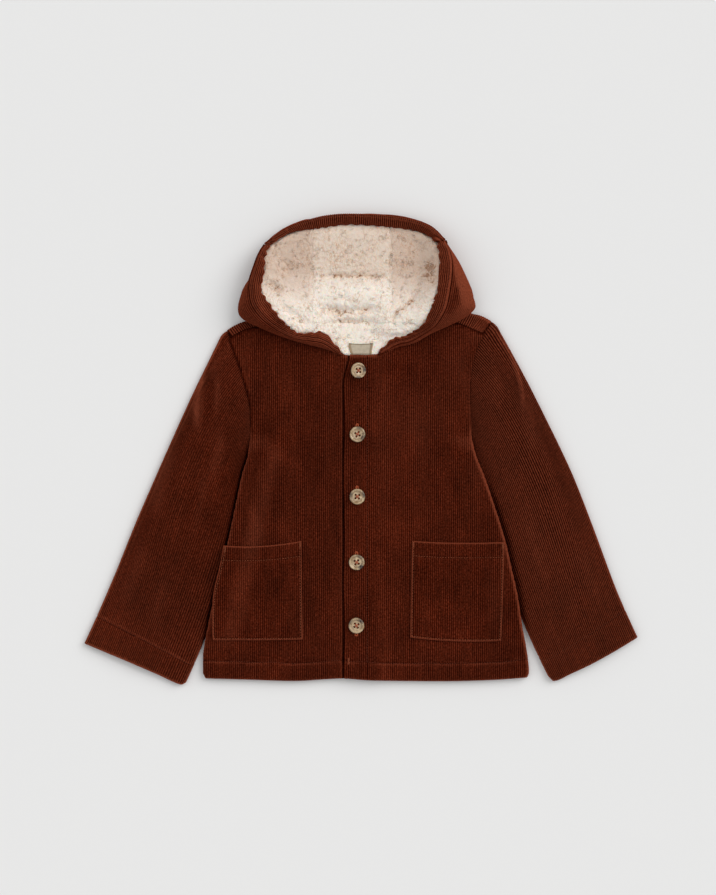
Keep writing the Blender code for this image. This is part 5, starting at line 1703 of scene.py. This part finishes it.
def woven_tape():
    """Flat woven tape: fine cross threads, darker along its two woven edges and its fold lines, with a
    painted shadow from the fleece along the top edge, tan where it is folded.
    """
    tape, tree = finished("woven_tape", Roughness=0.7, Specular_IOR_Level=0.25)
    weave = node(tree, "ShaderNodeTexWave", Vector=place_in_space(tree), bands_direction="Y", Scale=480,
                 Distortion=0.6, Detail=1).outputs["Fac"]
    tone = tinted(tree, read(tree, "folded"), TAPE_IVORY, TAPE_TAN)
    grain = product(tree, reached(tree, weave, 0, 1, 0.82, 1.06),
                    spread(tree, mottle(tree, 420, 3), 0.88, 1.08))
    surface(tree, shaded(tree, tinted(tree, read(tree, "edge"), tone, TAPE_LINE_AND_SHADOW), grain), weave, 0.4)
    return tape


def neck_tape():
    xs, ys = np.linspace(-LABEL_X, LABEL_X, 54), np.linspace(LABEL_LOW - 0.7, LABEL_HIGH, 36)
    x, y = (grid.ravel() for grid in np.meshgrid(xs, ys))
    side, end = LABEL_X - np.abs(x), np.minimum(y - LABEL_LOW, LABEL_HIGH - y)
    under = LABEL_FLOOR + 0.14 * np.sin(x / 3.1 + 0.6) + 0.22 * (x / LABEL_X)**2 + 0.1 * np.sin(y / 2.4)
    thick = LABEL_WALL * round_edge(np.minimum(side, end) + 0.15, 0.45)
    thick = thick + 0.32 * smooth((LABEL_FOLD + 0.3 - side) / 0.6) * smooth(side / 0.4)
    sewn = sewn_line(side - LABEL_FOLD + 0.8, 0.35, 0.2)
    top = under + thick + sewn + 0.04 * np.sin(2 * math.pi * y / 0.66)
    narrowed = x * mix(0.86, 1, smooth((y - LABEL_LOW) / 9)) + 0.4 * np.sin(y / 2.6)
    drawn = y + 0.7 * (x / LABEL_X)**2 * smooth((y - LABEL_LOW) / 8)
    folded = smooth((LABEL_FOLD + 0.15 - side) / 0.5)
    # Darker along the woven edges, much darker along the top one as a painted shadow from the fleece, and
    # along the fold lines.
    edges_and_shadow = close(end - 0.5, 0.45) * mix(0.35, 0.95, smooth((y - LABEL_LOW - 5) / 2))
    edges_and_shadow = edges_and_shadow + 0.5 * close(side - LABEL_FOLD - 0.1, 0.3)
    points = np.vstack([np.column_stack((narrowed, drawn, z)) for z in (top, under)])
    return mesh_piece("neck_label_tape", points, slab_faces(len(ys), len(xs)), woven_tape(),
                      folded=np.tile(folded, 2), edge=np.tile(edges_and_shadow, 2))


label = dress(neck_tape(), "neck_label")


# Topstitching -------------------------------------------------------------------------------------
# Lines of long rust stitches along the hems, placket, cuffs and hood rim and of tan ones round the
# pockets, close orange ones round the buttonholes, and tan bars across what takes the strain.
STITCH_STEP, BAR_STEP, GUIDE_STEP = 2.9, 0.5, 1.5
BAR_X, BAR_START, BAR_END = -13.5, 1.5, 7.5
NEAR_MOUTH = -12
THREADS = {"rust": (0.120, 0.022, 0.007), "tan": (0.24, 0.062, 0.024), "orange": (0.40, 0.085, 0.030)}


def twisted_thread(name, colour):
    """Twisted cotton thread: the twist is a fine slanting wave, a little glossier than the cloth."""
    thread, tree = finished(name, Roughness=0.6, Specular_IOR_Level=0.25)
    twist = node(tree, "ShaderNodeTexWave", Vector=place_in_space(tree), bands_direction="DIAGONAL",
                 Scale=420, Distortion=1).outputs["Fac"]
    surface(tree, shaded(tree, colour, reached(tree, twist, 0, 1, 0.55, 1.5)), twist)
    return thread


def stitch_shape(name, length, girth, bow, across=False, parts=4, sides=5):
    """One stitch: a short bowed thread whose two ends dip into the cloth, lying along X or across it."""
    vertices = []
    for n in range(parts + 1):
        t = 2 * n / parts - 1
        radius = girth * (1 - 0.45 * abs(t)**3)
        for beside, up in spokes(sides):
            x, y, z = t * length / 2, beside * radius, up * radius - bow * t * t
            vertices.append((-y, x, z) if across else (x, y, z))
    return mesh_piece(name, vertices, [face[::-1] for face in tube_faces(parts + 1, sides)], shown=False)


def stitch_tree():
    """Geometry Nodes: a stitch at every step along each line, turned to follow it."""
    tree, given = new_tree("stitch_line", Line=("Geometry", None), Step=("Float", STITCH_STEP * MM),
                           Shortest=("Float", 0.88), Seed=("Int", 3), Stitch=("Object", None),
                           Thread=("Material", None))
    line = node(tree, "GeometryNodeMeshToCurve", Mesh=given["Line"])
    steps = node(tree, "GeometryNodeResampleCurve", mode="LENGTH", Curve=line.outputs[0],
                 Length=given["Step"])
    ahead = node(tree, "GeometryNodeInputTangent").outputs[0]
    facing = None
    for pivot in ("Z", "Y"):
        facing = node(tree, "FunctionNodeAlignRotationToVector", axis="X", pivot_axis=pivot, Vector=ahead,
                      Rotation=facing).outputs[0]
    stitch = node(tree, "GeometryNodeObjectInfo", Object=given["Stitch"])
    size = node(tree, "FunctionNodeRandomValue", None, None, given["Shortest"], Seed=given["Seed"])
    return copied(tree, steps.outputs[0], stitch.outputs["Geometry"], given["Thread"], Rotation=facing,
                  Scale=size.outputs[1])


threads = {name: twisted_thread(name + "_thread", colour) for name, colour in THREADS.items()}
stitches = stitch_tree()
long_stitch = stitch_shape("long_stitch", 2.5, 0.3, 0.42)
cross_stitch = stitch_shape("cross_stitch", 1.9, 0.26, 0.3, across=True, parts=3, sides=4)


def sew(name, lines, thread="rust", stitch=long_stitch, step=STITCH_STEP):
    """A piece of stitching along lines, each of them an array of places on the cloth."""
    edges, first = [], 0
    for line in lines:
        edges += [(first + n, first + n + 1) for n in range(len(line) - 1)]
        first += len(line)
    mesh = bpy.data.meshes.new(name + "_guide")
    mesh.from_pydata((np.vstack(lines) * MM).tolist(), edges, [])
    guide = placed(name + "_guide", mesh)
    piece = grown(name, guide, stitches, Step=step * MM, Stitch=stitch, Thread=threads[thread],
                  Seed=len(name))
    bpy.data.objects.remove(guide)
    return dress(piece)


def on_front(side, x, y, rise=0.2):
    """Places on a front's right side."""
    return np.column_stack((x, y, front_heights(side, x, y)[1] + rise))


def hem_line(side, start, end):
    x = np.arange(start, end, GUIDE_STEP)
    return on_front(side, x, hem_y(x) + HEM_DEPTH + hem_sway(x))


def placket_line():
    y = np.arange(-233, 99, 2)
    return on_front("left", PLACKET_STITCH_X + 0.25 * uneven(0, y * 2), y)


def pocket_lines(patch):
    """A pocket's two sides, its bottom and the line across its mouth, which ends at the sides."""
    v = np.arange(POCKET_STITCH, POCKET_HEIGHT - GUIDE_STEP, GUIDE_STEP)
    ys = patch.y_of(np.full_like(v, patch.bottom.inner_x), v)
    outer = patch.outer_x(ys) + patch.inward * POCKET_STITCH
    inner = patch.inner_x(ys) - patch.inward * POCKET_STITCH
    step = patch.inward * GUIDE_STEP
    foot = np.arange(outer[0], inner[0], step)
    mouth = np.arange(outer[NEAR_MOUTH] + patch.inward, inner[NEAR_MOUTH], step)
    sides = [(outer, v), (inner, v), (foot, np.full_like(foot, POCKET_STITCH)),
             (mouth, np.full_like(mouth, POCKET_HEIGHT - POCKET_HEM))]
    return [patch.outer(x, place) + (0, 0, 0.15) for x, place in sides]


def pocket_bars(patch):
    """The two short upright bars at a pocket's upper corners."""
    bars = []
    for edge_x, way in ((patch.outer_x, patch.inward), (patch.inner_x, -patch.inward)):
        v = POCKET_HEIGHT - np.arange(BAR_START, BAR_END, BAR_STEP)
        x = edge_x(patch.y_of(np.full_like(v, patch.top.inner_x), v)) + way * 1.9
        bars.append(patch.outer(x, v) + (0, 0, 0.5))
    return bars


def cuff_line(sleeve):
    u = np.arange(1, SLEEVE_RIBS - 1, 0.6)
    return sleeve.outer(u, np.full_like(u, 1 - CUFF_HEM / SLEEVE_LENGTH)) + (0, 0, 0.2)


def rim_line(panel):
    along = np.arange(0.5, panel.length - 0.5, 1)
    return panel.outer(np.full_like(along, -RIM_STITCH), along) + (0, 0, 0.25)


def buttonhole_loop(hole):
    """Once round a buttonhole, a stitch's half length out from its slit."""
    angle = np.linspace(0, 2 * math.pi, 25)
    x = hole.x + 1.15 * np.cos(angle)
    y = np.where(np.sin(angle) > 0, hole.high - 1.1, hole.low + 1.1) + 1.1 * np.sin(angle)
    return on_front("left", x, y, 0.35)


sew("hem_stitches", [hem_line("right", -166, OVER_EDGE_X - 1), hem_line("left", OVER_EDGE_X + 2, 175)])
sew("placket_stitches", [placket_line()])
for side, patch in patches.items():
    sew("pocket_%s_stitches" % side, pocket_lines(patch), "tan")
for side, sleeve in sleeves.items():
    sew("cuff_%s_stitches" % side, [cuff_line(sleeve)])
sew("rim_stitches", [rim_line(panel) for panel in hood.values()])
bar_y = np.arange(-236.5, -229.5, BAR_STEP)
bars = [bar for patch in patches.values() for bar in pocket_bars(patch)]
bars += [on_front("left", np.full_like(bar_y, BAR_X), bar_y, 0.4)]
sew("bar_tacks", bars, "tan", cross_stitch, BAR_STEP)
sew("buttonhole_stitches", [buttonhole_loop(hole) for hole in BUTTONHOLES], "orange", cross_stitch, BAR_STEP)


# Buttons ------------------------------------------------------------------------------------------
# Five four-hole buttons turned from mock horn, cream with smoky patches, a raised bead round the rim
# and a dished middle. Each is sewn on through its holes with a cross of orange thread.
Smoke = namedtuple("Smoke", "hour width inner strength")
Button = namedtuple("Button", "x y turn lean rise smokes")
BUTTONS = [
    Button(-3.4, 85.5, 6, 19, 2, [Smoke(2.6, 30, 0.50, 0.9), Smoke(6.1, 24, 0.62, 0.8)]),
    Button(-3.9, 15.6, 18, 1.5, 0, [Smoke(12.4, 26, 0.60, 0.7), Smoke(4, 36, 0.50, 0.8)]),
    Button(-4, -52.8, -4, -1.5, 0, [Smoke(9.5, 26, 0.52, 0.8), Smoke(2.4, 28, 0.60, 0.8)]),
    Button(-4.7, -124.8, 9, 1, 0, [Smoke(1, 34, 0.56, 0.8), Smoke(4.6, 26, 0.46, 1)]),
    Button(-5, -194.2, -12, -1, 0, [Smoke(10, 24, 0.60, 0.7), Smoke(1.5, 30, 0.50, 0.8)]),
]
BUTTON_FLOOR, BUTTON_RADIUS, BUTTON_SIDES = 11.1, 8.7, 56
HOLE_RADIUS, HOLE_SPACING, HOLE_SIDES, DRILL_LENGTH = 1.25, 3.7, 20, 8
DISH_HEIGHT = 1.8
BUTTON_SHAPE = [
    (0, DISH_HEIGHT), (1.4, 1.8), (2.9, 1.84), (3.7, 1.95), (4.2, 2.15), (4.55, 2.2), (4.9, 2.1), (5.4, 2.05),
    (5.8, 2.2), (6.25, 2.7), (6.7, 3.15), (7.2, 3.38), (7.7, 3.38), (8.15, 3.15), (8.5, 2.7), (8.7, 2),
    (8.62, 1.3), (8.2, 0.6), (7.2, 0.1), (6, 0), (0, 0),
]
HORN_TAN, HORN_CREAM, HORN_SMOKE_AND_SHADE = (0.24, 0.14, 0.06), (0.62, 0.47, 0.29), (0.030, 0.017, 0.012)


def mock_horn():
    """Polished cast resin: cream clouded with tan, the smoky patches painted on each button, and painted
    shade in its groove, on its outer edge and down its holes.
    """
    horn, tree = finished("mock_horn", Roughness=0.28, Specular_IOR_Level=0.5, Coat_Weight=0.25,
                          Coat_Roughness=0.12, Subsurface_Weight=0.12,
                          Subsurface_Radius=(0.002, 0.0013, 0.0008))
    tone = toned(tree, mottle(tree, 170, 3, Distortion=1.2), (0.3, HORN_TAN), (0.7, HORN_CREAM))
    ragged = product(tree, read(tree, "smoke"), spread(tree, mottle(tree, 520, 2), 0.75, 1.3))
    surface(tree, tinted(tree, ragged, tone, HORN_SMOKE_AND_SHADE))
    return horn


def button_blank():
    """The turned shape with its four holes bored through."""
    shaping = bmesh.new()
    rings = []
    for radius, height in BUTTON_SHAPE:
        if radius == 0:
            rings.append([shaping.verts.new((0, 0, height * MM))] * BUTTON_SIDES)
            continue
        rings.append([shaping.verts.new((radius * MM * x, radius * MM * y, height * MM))
                      for x, y in spokes(BUTTON_SIDES)])
    for upper, lower in zip(rings, rings[1:]):
        for n in range(BUTTON_SIDES):
            m = (n + 1) % BUTTON_SIDES
            shaping.faces.new(dict.fromkeys((upper[n], lower[n], lower[m], upper[m])))
    boring = bmesh.new()
    for way in ((1, 1, 0), (1, -1, 0), (-1, 1, 0), (-1, -1, 0)):
        centre = Vector(way) * (HOLE_SPACING / 2 * MM) + Vector((0, 0, 1 * MM))
        bmesh.ops.create_cone(boring, cap_ends=True, segments=HOLE_SIDES, radius1=HOLE_RADIUS * MM,
                              radius2=HOLE_RADIUS * MM, depth=DRILL_LENGTH * MM,
                              matrix=Matrix.Translation(centre))
    shapes = []
    for name, making in (("button_blank", shaping), ("button_drill", boring)):
        mesh = bpy.data.meshes.new(name)
        making.to_mesh(mesh)
        making.free()
        shapes.append(placed(name, mesh))
    blank, drill = shapes
    bored = blank.modifiers.new("bored", "BOOLEAN")
    bored.operation = "DIFFERENCE"
    bored.object = drill
    bored.solver = "EXACT"
    ready = bpy.data.meshes.new_from_object(blank.evaluated_get(bpy.context.evaluated_depsgraph_get()))
    for shape in shapes:
        bpy.data.objects.remove(shape)
    return ready


def button_place(button):
    """Where a button sits: turned about its own middle, leaning to one side, and on the placket."""
    return (Matrix.Translation(Vector((button.x, button.y, BUTTON_FLOOR + button.rise)) * MM)
            @ Matrix.Rotation(math.radians(button.lean), 4, "Y")
            @ Matrix.Rotation(math.radians(button.turn), 4, "Z"))


def smoked_and_shaded(button, places):
    """How smoky a button is at places on it, in millimetres from its middle, with painted shade in its
    groove, on its outer edge and down its holes.
    """
    radius = np.hypot(places[:, 0], places[:, 1]) / BUTTON_RADIUS
    hour = 90 - np.degrees(np.arctan2(places[:, 1], places[:, 0])) - button.turn
    smoke = np.zeros(len(places))
    for patch in button.smokes:
        away = (hour - patch.hour * 30 + 180) % 360 - 180
        ragged = 1 + 0.25 * np.sin(away / 5 + radius * 9)
        smoke = smoke + patch.strength * np.exp(-(away / patch.width * ragged)**2) * smooth(
            (radius - patch.inner) / 0.22)
    # Painted shade in the groove inside the bead, on the outer edge, and down the holes' walls.
    groove_shade = 0.30 * close(radius - 0.62, 0.05) + 0.35 * smooth((radius - 0.95) / 0.05)
    bored = np.abs(places[:, 0]) + np.abs(places[:, 1]) < 6
    return np.clip(smoke + groove_shade + bored * (places[:, 2] < 1.2), 0, 1)


def thread_bar(path, girth, sides=8):
    """Points and faces of a round thread along a path."""
    points = catmull_rom(np.array(path, float), 5)
    ahead = unit(np.gradient(points, axis=0))
    level = unit(np.cross(ahead, (ahead[0][1] + 0.01, -ahead[0][0] + 0.3, 0.2)))
    turns = (2 * math.pi * np.arange(sides) / sides)[:, None]
    rings = points[:, None] + girth * (
        np.cos(turns) * level[:, None] + np.sin(turns) * np.cross(ahead, level)[:, None])
    return rings.reshape(-1, 3), tube_faces(len(points), sides)


def cross_thread(name, button):
    """The cross of thread over a button's middle, two strands each way, down into the holes."""
    reach = HOLE_SPACING / 2 - 0.35
    points, faces = [], []
    for way, stack in (((1, 1), 0), ((1, -1), 0.42)):
        side_step = np.array((-way[1], way[0], 0)) * 0.22
        for strand in (-1, 1):
            path = [(out * reach * way[0], out * reach * way[1], z) for out, z in (
                (-1, 0.4), (-1, DISH_HEIGHT - 0.1), (-0.6, DISH_HEIGHT + 0.42 + 0.5 * stack),
                (0, DISH_HEIGHT + 0.5 + stack), (0.6, DISH_HEIGHT + 0.42 + 0.5 * stack),
                (1, DISH_HEIGHT - 0.1), (1, 0.4))]
            ring, skin = thread_bar([np.array(place) + side_step * strand for place in path], 0.24)
            first = sum(len(part) for part in points)
            faces += [tuple(number + first for number in face) for face in skin]
            points.append(ring)
    piece = mesh_piece(name, np.vstack(points), faces, threads["orange"])
    piece.data.transform(button_place(button))
    return piece


horn = mock_horn()
blank = button_blank()
for number, button in enumerate(BUTTONS, 1):
    mesh = blank.copy()
    mesh.name = "button_%d_horn" % number
    places = np.empty(len(mesh.vertices) * 3)
    mesh.vertices.foreach_get("co", places)
    grade = mesh.attributes.new("smoke", "FLOAT", "POINT")
    grade.data.foreach_set("value", smoked_and_shaded(button, places.reshape(-1, 3) / MM).astype(np.float32))
    mesh.transform(button_place(button))
    mesh.shade_smooth()
    mesh.set_sharp_from_angle(angle=math.radians(50))
    mesh.materials.clear()
    mesh.materials.append(horn)
    dress(placed(mesh.name, mesh), "button_%d" % number)
    dress(cross_thread("button_%d_thread" % number, button))
bpy.data.meshes.remove(blank)
